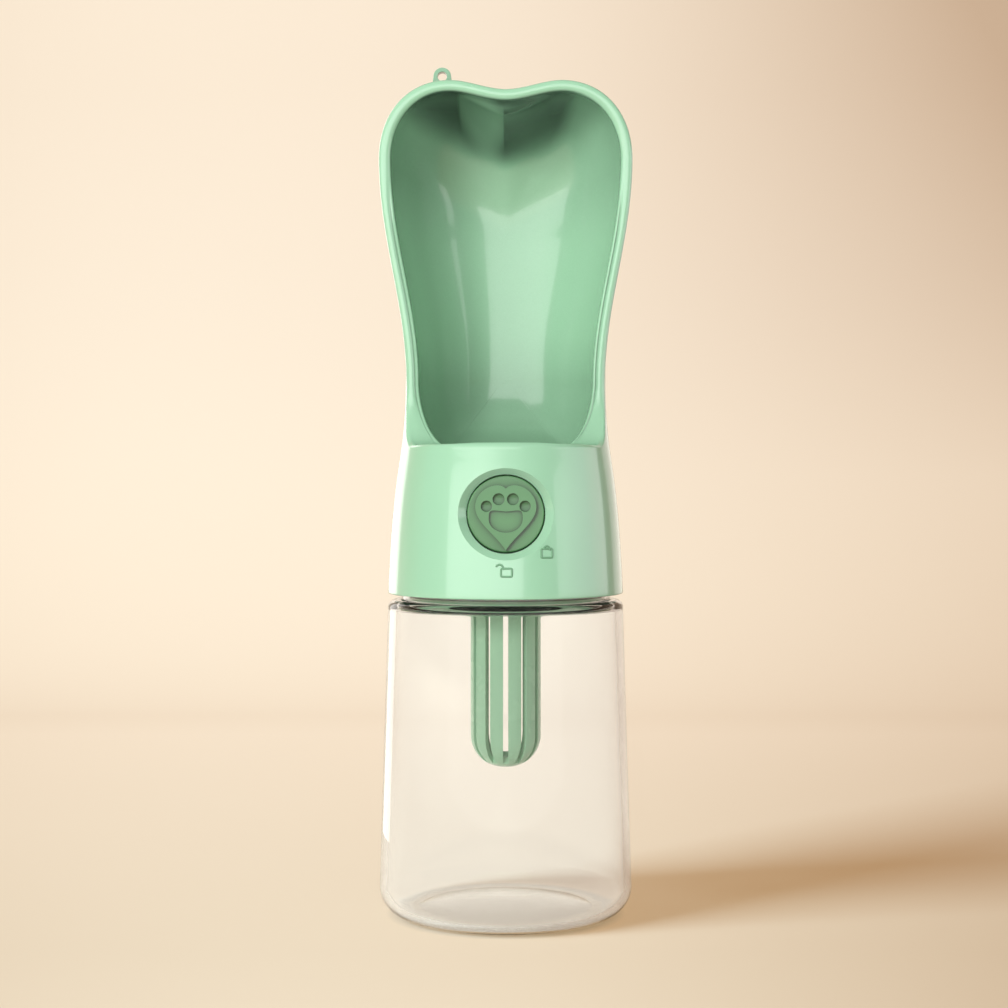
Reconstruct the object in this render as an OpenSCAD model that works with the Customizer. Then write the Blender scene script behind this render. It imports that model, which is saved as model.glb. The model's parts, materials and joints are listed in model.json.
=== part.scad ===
// Dog travel water bottle: a clear bottle with a screw-on drinking head.
// The head has a heart-shaped trough, and a press valve with a turning lock lets water into it.
// Millimetres. The origin is the centre of the bottle's foot, the trough and the button face -Y.

/* [Bottle] */
// Largest radius of the bottle, near its foot
bottle_r = 37.8; // [34:0.2:42]
// How far the bottle's shoulder stands out past the head's skirt
shoulder_step = 0; // [-1:0.1:1]
// Height of the bottle's shoulder
shoulder_z = 94.2; // [80:0.2:130]
// Wall of the bottle
bottle_wall = 2.2; // [1.6:0.1:3]
// Radius of the round corner at the foot
foot_round = 8.5; // [5:0.5:12]
// Radius of the round corner at the shoulder
shoulder_round = 2.4; // [1.5:0.1:4]
// Rise of the domed base above the foot ring
punt_h = 2.4; // [1:0.1:5]
// Radius of the domed base
punt_r = 26; // [18:0.5:27]
// Height of the neck above the shoulder
neck_h = 9.4; // [8:0.2:10]
// Wall of the neck
neck_wall = 1.7; // [1.4:0.1:2.2]

/* [Head] */
// Gap between the bottle's shoulder and the head's skirt
skirt_gap = 1.8; // [0.5:0.1:3]
// Outer radius of the head at its skirt
skirt_r = 35.2; // [34.5:0.1:38]
// Wall of the skirt round the thread
skirt_wall = 2.7; // [2.4:0.1:3.4]
// Room for the thread between the neck and the skirt's bore
thread_room = 1.2; // [1:0.1:1.6]
// Wall of the head
head_wall = 2.5; // [1.8:0.1:3]
// Height of the trough's lip
lip_z = 140; // [136:0.5:150]
// Height of the waist, where the head is narrowest
waist_z = 158; // [150:1:165]
// Radius of the head at its waist
waist_r = 29.9; // [28:0.1:31]
// Height at which the trough is widest
widest_z = 224; // [200:1:240]
// How far the trough's widest place stays inside the bottle's widest, on each side
trough_inset = 0.4; // [-2:0.1:3]
// Height of the two round tops of the heart
lobe_z = 247.1; // [230:0.5:260]
// Distance of each round top from the middle
lobe_x = 16.5; // [12:0.5:20]
// Depth of the notch between the two tops
notch_h = 2.6; // [0.5:0.1:6]
// Width of the trough's rim
rim_w = 3.4; // [2.6:0.1:4.5]
// Depth of the basin behind the lip
basin_h = 2.2; // [1:0.1:2.6]
// Place of the back of the head behind the axis, at the trough
back_y = 28.5; // [24:0.5:32]

/* [Strap eyelet] */
// Distance of the eyelet from the middle
eye_x = 19; // [10:0.5:24]
// Place of the eyelet's middle behind the axis
eye_y = 3; // [0:0.5:8]
// Height of the eyelet's hole above the head's round top
eye_rise = 3.6; // [3:0.1:6]
// Radius of the eyelet's hole
eye_hole_r = 1.4; // [1:0.1:1.6]
// Radius of the eyelet's ring
eye_r = 2.65; // [2.4:0.05:4]
// Thickness of the eyelet
eye_t = 3; // [2:0.1:5]

/* [Button and lock] */
// Height of the valve's axis
valve_z = 120.2; // [119.5:0.1:120.5]
// Radius of the dish in the head's wall
dish_r = 13.6; // [13.2:0.1:13.8]
// Radius of the button
button_r = 11.05; // [10.5:0.05:11.2]
// Place of the button's face in front of the axis
button_y = 29.3; // [28.8:0.1:29.6]
// Travel of the button
button_travel = 4; // [2:0.5:4]
// Wall of the lock sleeve
sleeve_wall = 0.7; // [0.5:0.05:0.8]
// Height of the heart on the button's face
heart_h = 1.3; // [0.4:0.1:1.6]
// Depth of the paw mark in the heart
paw_h = 0.7; // [0.2:0.1:1]

/* [Valve] */
// Radius of the valve stem
stem_r = 2; // [1.8:0.1:2.2]
// Bore of the valve chamber
chamber_r = 6.2; // [6:0.1:6.6]
// Wall of the valve chamber
chamber_wall = 1.5; // [1.2:0.1:2]
// Radius of the hole in the valve seat
seat_r = 3.8; // [3:0.1:4.2]
// Place of the intake behind the axis
intake_y = 5; // [4.5:0.1:5.5]
// Bore of the intake
intake_r = 2.4; // [1.8:0.1:2.6]
// Place of the outlet in front of the axis
outlet_y = 7; // [6.5:0.1:7.5]
// Bore of the outlet
outlet_r = 2.2; // [1.6:0.1:2.4]
// Wire radius of the return spring
wire_r = 0.35; // [0.25:0.05:0.45]
// Number of curls in the return spring
spring_curls = 5; // [3:1:6]

/* [Strainer cage] */
// Outer radius of the strainer cage
cage_r = 10.55; // [10:0.1:13]
// Length of the strainer cage below the plug
cage_l = 48.8; // [30:0.5:60]
// Wall of the strainer cage
cage_wall = 1.6; // [1.2:0.1:2]
// Radius of the cage's round end
cage_round = 9.6; // [6:0.1:9.8]
// Number of slots in the cage
cage_slots = 12; // [6:2:14]
// Width of a slot
slot_w = 1.6; // [0.8:0.05:2]

/* [Fits] */
// Gap between parts that move past each other
gap = 0.3; // [0.25:0.05:0.4]
// Gap of a running fit on a shaft or a seal
run = 0.05; // [0.03:0.01:0.1]

/* [Hidden] */
$fn = 96;
MINT = [0.68, 0.92, 0.74];
DARK_MINT = [0.44, 0.58, 0.45];
CLEAR = [0.92, 0.94, 0.94, 0.35];
SILICONE = [0.85, 0.87, 0.85];
STEEL = [0.72, 0.73, 0.75];
ACETAL = [0.93, 0.93, 0.9];
EDGE = 0.01;
FAR = 400;

// Heights and radii where the bottle and the head meet
widest_x = bottle_r - trough_inset;
shoulder_r = skirt_r + shoulder_step;
skirt_bore_r = skirt_r - skirt_wall;
neck_r = skirt_bore_r - thread_room;
neck_bore_r = neck_r - neck_wall;
neck_top = shoulder_z + neck_h;
skirt_z = shoulder_z + skirt_gap;
plug_r = neck_bore_r - gap;
plug_z = shoulder_z - 1.4;
plug_floor = 2.4;
plug_wall = 3.2;
plug_inner_r = plug_r - plug_wall;
flange_t = 1.6;
ledge_z = neck_top + gap + flange_t;
ledge_t = 1.6;
ledge_w = 3;
seal_r = 1.1;
seal_z = plug_z + plug_floor + seal_r;

// The head is round up to the loft's height, with its slope at the skirt and there. The underside
// of the trough's floor is a little lower.
loft_z = lip_z - 4.8;
loft_r = waist_r + 1.9;
skirt_slope = -0.05;
loft_slope = -0.16;
skirt_bevel = 0.5;
floor_z = loft_z - 1;

// The valve's stations along its axis, from the front to the back
button_t = 2;
button_wall = 1.25;
button_skirt = 6.8;
stem_boss_l = 2.1;
cap_hollow_y = -button_y + button_t;
cap_rear_y = -button_y + button_skirt;
sleeve_r = button_r + gap + sleeve_wall;
collar_r = sleeve_r + 0.8;
collar_t = 1.7;
well_r = sleeve_r + gap;
well_step_y = cap_rear_y + 1.5;
sleeve_rear_y = well_step_y + gap + collar_t;
ring_t = 1.3;
web_y = sleeve_rear_y + ring_t + 0.2;
web_t = 2;
washer_t = 0.4;
slip = 0.1;
boss_y = web_y - 3;
boss_r = 4.2;
chamber_y = web_y + web_t;
front_wall = 2.4;
front_room_y = chamber_y + front_wall;
gland_r = 3.4;
gland_end_y = chamber_y + 0.9;
stem_room = 0.25;
pipe_room = 0.2;
seat_y = 0.3;
seat_t = 1.8;
cap_seat_y = 13;
chamber_end_y = 16;
chamber_outer_r = chamber_r + chamber_wall;
poppet_seal_t = 1.4;
poppet_t = 1.8;
poppet_r = chamber_r - 0.8;
clip_t = 0.7;

collar_h = 1.6;
socket_r = intake_r + 1.3;
socket_z = plug_z + plug_floor + 1.2;
socket_top = valve_z - chamber_outer_r - 1;
intake_seal_t = 1.9;
pipe_wall = 1.1;
outlet_top = lip_z - basin_h - 0.1;
grommet_r = outlet_r + pipe_wall + 0.85;
grommet_flange_w = 1.3;
grommet_flange_t = 2;
flare = 1.8;
solid_end_r = 6.2;
slot_top = 0.4;
loop_sink = 4;
loop_flare = 0.9;
well_outer_r = collar_r + gap + 1.2;
web_r = min(well_outer_r, floor_z - valve_z - run);
dish_y = button_y + 1;
dish_cone = 1.6;
cap_t = 2;
cap_hollow_r = 3;
cap_hollow_l = 2;
cap_ring_y = 14.5;
cap_ring_r = 0.6;
bush_l = 2.6;
stem_ring_r = 0.62;
spring_r = 5.6;
stem_y = -button_y + 1.2;
stem_end_y = seat_y + 4.9;
stem_pin_r = stem_r - 0.45;
clip_groove_r = 1.1;
clip_mouth = 1.4;
clip_y = seat_y + run + poppet_seal_t + poppet_t;
sleeve_front_y = -button_y + 0.3;
key_w = 1.6;
key_h = 0.85;
key_y = cap_hollow_y + button_travel + gap;

function mix(a, b, u) = a + (b - a) * u;
function bezier(a, b, c, d, u) =
    pow(1 - u, 3) * a + 3 * pow(1 - u, 2) * u * b + 3 * (1 - u) * u * u * c + u * u * u * d;
function hermite(a, slope_a, b, slope_b, length, u) =
    bezier(a, a + slope_a * length / 3, b - slope_b * length / 3, b, u);
function unit(v) = v / norm(v);
function smooth(u) = u * u * (3 - 2 * u);

// Radius of the head at a height: skirt to loft, then loft to waist, then straight
function head_r(z) =
    z < loft_z ? hermite(skirt_r, skirt_slope, loft_r, loft_slope, loft_z - skirt_z,
        (z - skirt_z) / (loft_z - skirt_z)) :
    z < waist_z ? hermite(loft_r, loft_slope, waist_r, 0, waist_z - loft_z,
        (z - loft_z) / (waist_z - loft_z)) : waist_r;

// Point of a circle touched by the outer tangent from circle a to circle b, given as [r, z, radius]
function tangent_angle(a, b) =
    atan2(b[1] - a[1], b[0] - a[0]) - acos((a[2] - b[2]) / norm([b[0] - a[0], b[1] - a[1]]));
function on_circle(c, angle) = [c[0] + c[2] * cos(angle), c[1] + c[2] * sin(angle)];

// Half outline of a round body: a circle at the foot, a circle at the shoulder and their tangent
module round_outline(low, high) {
    angle = tangent_angle(low, high);
    translate([low[0], low[1]]) circle(low[2]);
    translate([high[0], high[1]]) circle(high[2]);
    polygon([[0, low[1] - low[2]], [low[0], low[1] - low[2]], [low[0], low[1]], on_circle(low, angle),
        on_circle(high, angle), [high[0], high[1]], [high[0], high[1] + high[2]],
        [0, high[1] + high[2]]]);
}

// Right half of the plane, tall enough for every revolved outline
module right_half() {
    translate([0, -FAR]) square([FAR, 2 * FAR]);
}

module revolve() {
    rotate_extrude() intersection() {
        children();
        right_half();
    }
}

module ring(outer, inner, height) {
    difference() {
        cylinder(r = outer, h = height);
        translate([0, 0, -1]) cylinder(r = inner, h = height + 2);
    }
}

module torus(major, minor) {
    rotate_extrude() translate([major, 0]) circle(minor);
}

// Turns a shape from +Z to +Y about the valve's axis, with its base at the given place
module along_valve(y) {
    translate([0, y, valve_z]) rotate([-90, 0, 0]) children();
}

module bottle() {
    low = [bottle_r - foot_round, foot_round, foot_round];
    high = [shoulder_r - shoulder_round, shoulder_z - shoulder_round, shoulder_round];
    inner_low = [low[0], low[1], foot_round - bottle_wall];
    inner_high = [high[0] - 1, shoulder_z - bottle_wall - 1, 1];
    dome_r = (punt_r * punt_r + punt_h * punt_h) / (2 * punt_h);
    color(CLEAR) difference() {
        union() {
            revolve() round_outline(low, high);
            cylinder(r = neck_r, h = neck_top);
        }
        difference() {
            revolve() round_outline(inner_low, inner_high);
            translate([0, 0, punt_h - dome_r]) sphere(dome_r + bottle_wall);
        }
        translate([0, 0, shoulder_z - 2 * bottle_wall]) cylinder(r = neck_bore_r, h = FAR);
        translate([0, 0, punt_h - dome_r]) sphere(dome_r);
    }
}

module neck_seal() {
    color(SILICONE) translate([0, 0, seal_z]) torus(neck_bore_r - run - seal_r, seal_r);
}

module base_plug() {
    wall_top = ledge_z - flange_t;
    groove_r = neck_bore_r - 2 * (run + seal_r);
    color(MINT) difference() {
        union() {
            translate([0, 0, plug_z]) ring(plug_r, plug_inner_r, wall_top - plug_z);
            translate([0, 0, wall_top]) ring(skirt_bore_r - run, plug_inner_r, flange_t);
            translate([0, 0, plug_z]) cylinder(r = plug_r - EDGE, h = plug_floor);
            translate([0, intake_y, plug_z])
                cylinder(r = socket_r + chamber_wall, h = socket_top - plug_z);
        }
        translate([0, 0, seal_z - seal_r - run]) ring(FAR, groove_r, 2 * (seal_r + run));
        translate([0, 0, plug_z - EDGE])
            ring(cage_r + run, cage_r - cage_wall - run, collar_h + run + EDGE);
        translate([0, intake_y, 0]) cylinder(r = intake_r, h = FAR);
        translate([0, intake_y, socket_z]) cylinder(r = socket_r, h = FAR);
    }
}

module filter_cage() {
    bore_r = cage_r - cage_wall;
    foot = plug_z - cage_l;
    bore_round = cage_round - cage_wall;
    color(MINT) difference() {
        union() {
            revolve() union() {
                translate([cage_r - cage_round, foot + cage_round]) circle(cage_round);
                translate([0, foot]) square([cage_r - cage_round, cage_round]);
                translate([0, foot + cage_round])
                    square([cage_r, cage_l - cage_round + collar_h]);
            }
            revolve() difference() {
                translate([0, plug_z - run - flare]) square([cage_r + flare, flare]);
                translate([cage_r + flare, plug_z - run - flare]) circle(flare);
            }
        }
        revolve() union() {
            translate([bore_r - bore_round, foot + cage_round]) circle(bore_round);
            translate([0, foot + cage_wall]) square([bore_r - bore_round, cage_round]);
            translate([0, foot + cage_round]) square([bore_r, FAR]);
        }
        for (i = [0 : cage_slots - 1]) rotate(-90 + i * 360 / cage_slots)
            translate([solid_end_r, -slot_w / 2, foot - EDGE])
                cube([cage_r, slot_w, cage_l - slot_top]);
    }
}

module valve_chamber() {
    color(ACETAL) difference() {
        union() {
            along_valve(web_y) cylinder(r = web_r, h = web_t);
            along_valve(boss_y) cylinder(r = boss_r, h = web_y - boss_y + EDGE);
            along_valve(web_y + EDGE)
                cylinder(r = chamber_outer_r, h = chamber_end_y - web_y - EDGE);
            translate([0, intake_y, socket_z + intake_seal_t + gap])
                cylinder(r = socket_r - pipe_room, h = valve_z - socket_z - intake_seal_t - gap);
            translate([0, -outlet_y, valve_z])
                cylinder(r = outlet_r + pipe_wall, h = outlet_top - valve_z);
        }
        along_valve(boss_y - EDGE) cylinder(r = gland_r, h = gland_end_y - boss_y + EDGE);
        along_valve(boss_y) cylinder(r = stem_r + stem_room, h = -boss_y);
        along_valve(front_room_y) cylinder(r = chamber_r, h = seat_y - seat_t - front_room_y);
        along_valve(seat_y - seat_t - EDGE) cylinder(r = seat_r, h = seat_t + 2 * EDGE);
        along_valve(seat_y) cylinder(r = chamber_r, h = FAR);
        translate([0, intake_y, socket_z]) cylinder(r = intake_r, h = valve_z - socket_z);
        translate([0, -outlet_y, valve_z]) cylinder(r = outlet_r, h = FAR);
    }
}

module intake_seal() {
    color(SILICONE) translate([0, intake_y, socket_z + run])
        ring(socket_r - run, intake_r + run, intake_seal_t);
}

module outlet_grommet() {
    color(SILICONE) translate([0, -outlet_y, 0]) difference() {
        union() {
            translate([0, 0, floor_z - grommet_flange_t - 0.1])
                cylinder(r = grommet_r + grommet_flange_w, h = grommet_flange_t);
            translate([0, 0, floor_z - grommet_flange_t])
                cylinder(r = grommet_r - run, h = outlet_top - floor_z + grommet_flange_t);
        }
        cylinder(r = outlet_r + pipe_wall + run, h = FAR);
    }
}

module rear_cap() {
    color(ACETAL) difference() {
        union() {
            along_valve(cap_seat_y)
                cylinder(r = chamber_r - run, h = chamber_end_y - cap_seat_y + EDGE);
            along_valve(chamber_end_y) cylinder(r = chamber_outer_r, h = cap_t);
        }
        along_valve(cap_ring_y - cap_ring_r - run)
            ring(FAR, chamber_r - 2 * (cap_ring_r + run), 2 * (cap_ring_r + run));
        along_valve(cap_seat_y - EDGE) cylinder(r = cap_hollow_r, h = cap_hollow_l);
    }
}

module rear_cap_o_ring() {
    color(SILICONE) along_valve(cap_ring_y) torus(chamber_r - run - cap_ring_r, cap_ring_r);
}

module thrust_ring() {
    color(ACETAL) along_valve(sleeve_rear_y + slip)
        ring(collar_r + gap - run, sleeve_r - 0.5, web_y - sleeve_rear_y - slip - run);
}

module stem_bush() {
    color(ACETAL) along_valve(boss_y + slip) ring(gland_r - run, stem_r + run, bush_l);
}

module stem_o_rings() {
    major = stem_r + run + stem_ring_r;
    step = 2 * (stem_ring_r + slip);
    first_y = boss_y + bush_l + stem_ring_r + 2 * slip;
    color(SILICONE) for (i = [0, 1])
        along_valve(first_y + i * step) torus(major, stem_ring_r);
}

module spring_washer() {
    color(STEEL) along_valve(web_y - washer_t) ring(spring_r + 1.2, boss_r + 2 * slip, washer_t);
}

// A helix tube from the hollow of the button to the washer, closed at both ends
SPRING_RINGS = 8;
SPRING_SIDES = 6;
spring_y0 = cap_hollow_y + run + wire_r;
spring_y1 = web_y - washer_t - run - wire_r;
function spring_point(u, angle) =
    let(turn = 360 * spring_curls * u, r = spring_r + wire_r * cos(angle))
    [r * cos(turn), mix(spring_y0, spring_y1, u) + wire_r * sin(angle), valve_z + r * sin(turn)];
module return_spring() {
    rings = spring_rings;
    points = [for (i = [0 : rings]) for (j = [0 : SPRING_SIDES - 1])
        spring_point(i / rings, 360 * j / SPRING_SIDES)];
    walls = [for (i = [0 : rings - 1]) for (j = [0 : SPRING_SIDES - 1])
        let(a = i * SPRING_SIDES, b = a + SPRING_SIDES, n = (j + 1) % SPRING_SIDES)
        each [[a + j, b + n, a + n], [a + j, b + j, b + n]]];
    first = [for (j = [0 : SPRING_SIDES - 1]) j];
    last = [for (j = [SPRING_SIDES - 1 : -1 : 0]) rings * SPRING_SIDES + j];
    color(STEEL) polyhedron(points, concat([first, last], walls));
}

// Least gap between a curl and the next, measured between points round the two of them
spring_rings = spring_curls * SPRING_RINGS;
function spring_ring(i) =
    [for (j = [0 : SPRING_SIDES - 1]) spring_point(i / spring_rings, 360 * j / SPRING_SIDES)];
spring_gap = min([for (i = [0 : spring_rings - SPRING_RINGS + 1], k = [-1 : 1])
    let(next = i + SPRING_RINGS + k)
    if (next <= spring_rings) for (a = spring_ring(i), b = spring_ring(next)) norm(a - b)]);
echo(least_gap_of_spring = spring_gap);

module valve_stem() {
    color(STEEL) difference() {
        union() {
            along_valve(stem_y) cylinder(r = stem_r, h = seat_y + run - stem_y);
            along_valve(seat_y) cylinder(r = stem_pin_r, h = stem_end_y - seat_y);
        }
        along_valve(clip_y) ring(stem_r, clip_groove_r, clip_t + slip);
    }
}

module poppet_seal() {
    color(SILICONE) along_valve(seat_y + run)
        ring(poppet_r - 0.4, stem_pin_r + run, poppet_seal_t);
}

module poppet() {
    color(ACETAL) along_valve(seat_y + run + poppet_seal_t)
        ring(poppet_r, stem_pin_r + run, poppet_t);
}

module stem_clip() {
    color(STEEL) difference() {
        along_valve(clip_y + run) ring(stem_pin_r + 1.2, clip_groove_r + run, clip_t);
        translate([-clip_mouth / 2, clip_y, valve_z]) cube([clip_mouth, 2 * clip_t, FAR]);
    }
}

module lock_sleeve() {
    bore = button_r + gap;
    color(DARK_MINT) {
        along_valve(sleeve_front_y) ring(sleeve_r, bore, sleeve_rear_y - sleeve_front_y);
        along_valve(sleeve_rear_y - collar_t) ring(collar_r, bore + EDGE, collar_t);
        for (side = [-1, 1]) intersection() {
            along_valve(key_y) ring(bore + sleeve_wall / 2, bore - key_h, sleeve_rear_y - key_y);
            translate([side * bore - key_w, key_y, valve_z - key_w / 2])
                cube([2 * key_w, FAR, key_w]);
        }
    }
}

// Half outlines of the heart and of the paw's pad, each from two smooth curves that meet
// sideways of the middle, as [top, widest, bottom] points with the reach of their handles
HEART = [[0, 7.2], [8.7, 2.1], [0, -10.4]];
HEART_REACH = [[2.4, 2.6], [0, 4.8], [0, -4.6], [2.6, 4.4]];
PAD = [[0, 0.7], [4.85, -1.3], [0, -5.3]];
PAD_REACH = [[4.2, 0.4], [0, 2.9], [0, -2.4], [2.7, 0]];
PAW_TOES = [[5.5, 2.2, 1.6], [2.05, 4.2, 1.7]];
function half_outline(ends, reach) = concat(
    [for (i = [0 : HALF_N - 1])
        bezier(ends[0], ends[0] + reach[0], ends[1] + reach[1], ends[1], i / HALF_N)],
    [for (i = [0 : HALF_N])
        bezier(ends[1], ends[1] + reach[2], ends[2] + reach[3], ends[2], i / HALF_N)]);
HALF_N = 10;
module mirrored_outline(half) {
    last = len(half) - 1;
    polygon(concat(half, [for (i = [last - 1 : -1 : 1]) [-half[i][0], half[i][1]]]));
}

module heart() {
    mirrored_outline(half_outline(HEART, HEART_REACH));
}

module paw() {
    for (side = [-1, 1], spot = PAW_TOES) translate([side * spot[0], spot[1]]) circle(spot[2]);
    mirrored_outline(half_outline(PAD, PAD_REACH));
}

module button_cap() {
    color(DARK_MINT) difference() {
        union() {
            along_valve(-button_y) cylinder(r = button_r, h = button_skirt);
            along_valve(-button_y - heart_h)
                linear_extrude(heart_h + EDGE) mirror([0, 1, 0]) heart();
        }
        difference() {
            along_valve(cap_hollow_y) cylinder(r = button_r - button_wall, h = button_skirt);
            along_valve(cap_hollow_y - EDGE) cylinder(r = stem_r + 1.5, h = stem_boss_l + EDGE);
        }
        along_valve(stem_y) cylinder(r = stem_r + EDGE, h = FAR);
        along_valve(-button_y - heart_h - EDGE)
            linear_extrude(EDGE + paw_h) mirror([0, 1, 0]) paw();
        for (side = [-1, 1])
            translate([side * button_r - 2 * key_w, cap_hollow_y, valve_z - key_w / 2 - gap])
                cube([4 * key_w, button_skirt, key_w + 2 * gap]);
    }
}

// The trough's rim, by places from the middle of the lip (0) round to the notch (rim_n)
LIP_N = 8;
CORNER_N = 6;
SIDE_N = 9;
LOBE_N = 8;
TOP_N = 4;
rim_n = LIP_N + CORNER_N + SIDE_N + LOBE_N + TOP_N;
rim_y_waist = 6;
rim_y_top = 12;
function rim_y(z) =
    -mix(rim_y_waist, rim_y_top, pow(max(0, z - waist_z) / (lobe_z - waist_z), 1.5));
corner_y = 15;
corner_in_x = 17.2;
lip_handle = 9;
lip_r = head_r(lip_z);
lip_in_y = lip_r - rim_w + 0.4;
corner_a = acos(corner_y / lip_r);

// Front view of the rim's sides and top, inset by w
side_x = sqrt(waist_r * waist_r - rim_y_waist * rim_y_waist);
side_reach = 0.36 * (widest_z - waist_z);
function side_xz(u, w) =
    bezier([side_x - w, waist_z], [side_x - w, waist_z + side_reach],
        [widest_x - w, widest_z - side_reach], [widest_x - w, widest_z], u);
function lobe_xz(u, w) =
    bezier([widest_x - w, widest_z], [widest_x - w, mix(widest_z, lobe_z - w, 0.6)],
        [mix(lobe_x, widest_x - w, 0.58), lobe_z - w], [lobe_x, lobe_z - w], u);
function top_xz(u, w) = [lobe_x * (1 - u), lobe_z - w - notch_h * smooth(u)];
function swoop_yz(u) =
    bezier([-corner_y, lip_z], [5 - corner_y, lip_z],
        [-rim_y_waist - 0.3, mix(lip_z, waist_z, 0.39)], [-rim_y_waist, waist_z], u);

// Place on the rim's outer edge (inner false) or inner edge (inner true), on the +X side
function rim_point(k, inner) =
    k <= LIP_N ? lip_point(k / LIP_N, inner) :
    k <= LIP_N + CORNER_N ? corner_point((k - LIP_N) / CORNER_N, inner) :
    let(w = inner ? rim_w : 0,
        s = k - LIP_N - CORNER_N,
        p = s <= SIDE_N ? side_xz(s / SIDE_N, w) :
            s <= SIDE_N + LOBE_N ? lobe_xz((s - SIDE_N) / LOBE_N, w) :
            top_xz((s - SIDE_N - LOBE_N) / TOP_N, w))
    [p[0], rim_y(p[1]), p[1]];
function lip_point(u, inner) =
    let(a = -90 + u * corner_a)
    inner ? concat(bezier([0, -lip_in_y], [corner_in_x / 2, -lip_in_y],
        [corner_in_x, -corner_y - lip_handle], [corner_in_x, -corner_y], u), [lip_z])
    : [lip_r * cos(a), lip_r * sin(a), lip_z];
function corner_point(u, inner) =
    let(yz = swoop_yz(u), r = head_r(yz[1]))
    [inner ? bezier(corner_in_x, corner_in_x + 3.3, side_x - rim_w - 0.6, side_x - rim_w, u)
        : sqrt(r * r - yz[0] * yz[0]), yz[0], yz[1]];

// Share of the way from lying upright on the lip (0) to lying level along the top (1)
function ramp(u) = smooth(min(1, max(0, u)));
function lean(k) = ramp((k - LIP_N) / (CORNER_N + SIDE_N));
centre_low_z = waist_z + 4;
centre_drop = 42.1;
centre_high_z = lobe_z - centre_drop;
function centre_z(k) = min(centre_high_z, max(centre_low_z, rim_point(k, true)[2]));
function away(k) = let(p = rim_point(k, false)) unit([p[0], 0, p[2] - centre_z(k)]);

// Bottom circle of the loft: angle for each place on the rim
function foot_angle(k) =
    k <= LIP_N ? -90 + k / LIP_N * corner_a :
    let(p = rim_point(LIP_N + CORNER_N, false), a1 = atan2(p[1], p[0]))
    k <= LIP_N + CORNER_N ? mix(corner_a - 90, a1, (k - LIP_N) / CORNER_N) :
    k <= LIP_N + CORNER_N + SIDE_N ?
        mix(a1, side_end_a, pow((k - LIP_N - CORNER_N) / SIDE_N, 1.3)) :
    mix(side_end_a, 90, (k - LIP_N - CORNER_N - SIDE_N) / (LOBE_N + TOP_N));
side_end_a = 30;

function mid_z(k) = min(waist_z, mix(loft_z, rim_point(k, false)[2], 0.5));
function wall_point(angle, z) = [head_r(z) * cos(angle), head_r(z) * sin(angle), z];
function out_dir(k) =
    let(a = foot_angle(k), up = unit(wall_point(a, lip_z + 1) - wall_point(a, lip_z)),
        level = unit(0.1 * away(k) + [0, -1, 0]))
    unit(mix(up, level, lean(k)));

// Round skirt: its bevelled bottom edge (0) and then up to the loft's height (SKIRT_LOOPS)
function skirt_point(k, row) =
    let(a = foot_angle(k), p = wall_point(a, skirt_z))
    row == 0 ? p - skirt_bevel * [cos(a), sin(a), 0] :
    wall_point(a, mix(skirt_z + skirt_bevel, loft_z, (row - 1) / (SKIRT_LOOPS - 1)));

// Outer skin from the top of the skirt (0) to where the rim's outer edge starts to round (1)
function skin_point(k, s) =
    let(z1 = mid_z(k), a = foot_angle(k), start = wall_point(a, z1),
        p = rim_point(k, false) - out_dir(k) * rim_round, reach = norm(p - start),
        up = unit(wall_point(a, z1 + EDGE) - start) * reach * mix(0.33, 0.8, lean(k)),
        out = out_dir(k) * reach * mix(0.33, 0.42, lean(k)))
    s <= 0.3 ? wall_point(a, mix(loft_z, z1, s / 0.3))
    : bezier(start, start + up, p - out, p, (s - 0.3) / 0.7);

// Inner skin from the rim's inner edge (0) towards the back of the trough (1), each line a quarter
// of a superellipse, squarer along the basin than along the sides and the top
function low(k) = 1 - ramp(k / (LIP_N + CORNER_N + 3));
function in_dir(k) = unit(mix([0, 1, 0] - 0.1 * away(k), [0, 0.3, -1], low(k)));
function hollow_point(k, s) =
    let(p = rim_point(k, true), power = 2 / mix(hollow_power, floor_power, low(k)),
        across = pow(cos(90 * s), power), depth = pow(sin(90 * s), power),
        drop = basin_h * low(k) * ramp(depth * 5))
    [p[0] * across, mix(p[1], back_y - head_wall, depth),
        mix(centre_z(k), p[2] - drop, across) - fold(k, s, p[0] * across)];
// The fold that the notch between the two round tops leaves in the trough's roof
fold_h = 3;
fold_w = 14;
function fold(k, s, x) = fold_h * ramp((k - rim_n + TOP_N + 3) / 3) * max(0, 1 - abs(x) / fold_w)
    * ramp(s / 0.08) * (1 - ramp((s - 0.25) / 0.4));

// Two loops that round an edge p, from the way it is reached (a) to the way it is left (b)
function edge_round(p, a, b, r, u) =
    let(q0 = p - a * r, q1 = p + b * r) bezier(q0, mix(q0, p, 0.6), mix(q1, p, 0.6), q1, u);
hollow_power = 2.2;
floor_power = 3.4;

SKIRT_LOOPS = 7;
SKIN_LOOPS = 10;
HOLLOW_LOOPS = 9;
rim_round = 1.2;
function face_dir(k) = unit(rim_point(k, true) - rim_point(k, false));
function loft_point(k, row) =
    row < SKIRT_LOOPS ? skirt_point(k, row) : upper_point(k, row - SKIRT_LOOPS);
function upper_point(k, row) =
    row < SKIN_LOOPS ? skin_point(k, (row + 1) / (SKIN_LOOPS + 1)) :
    row < SKIN_LOOPS + 4 ?
        edge_round(rim_point(k, false), out_dir(k), face_dir(k), rim_round, (row - SKIN_LOOPS) / 3) :
    row < SKIN_LOOPS + 8 ?
        edge_round(rim_point(k, true), face_dir(k), in_dir(k), 0.8 * rim_round,
            (row - SKIN_LOOPS - 4) / 3) :
    hollow_point(k, 0.94 * pow((row - SKIN_LOOPS - 7) / HOLLOW_LOOPS, 1.4));
loft_rows = SKIRT_LOOPS + SKIN_LOOPS + 8 + HOLLOW_LOOPS;
loop_n = 2 * rim_n;

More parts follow.
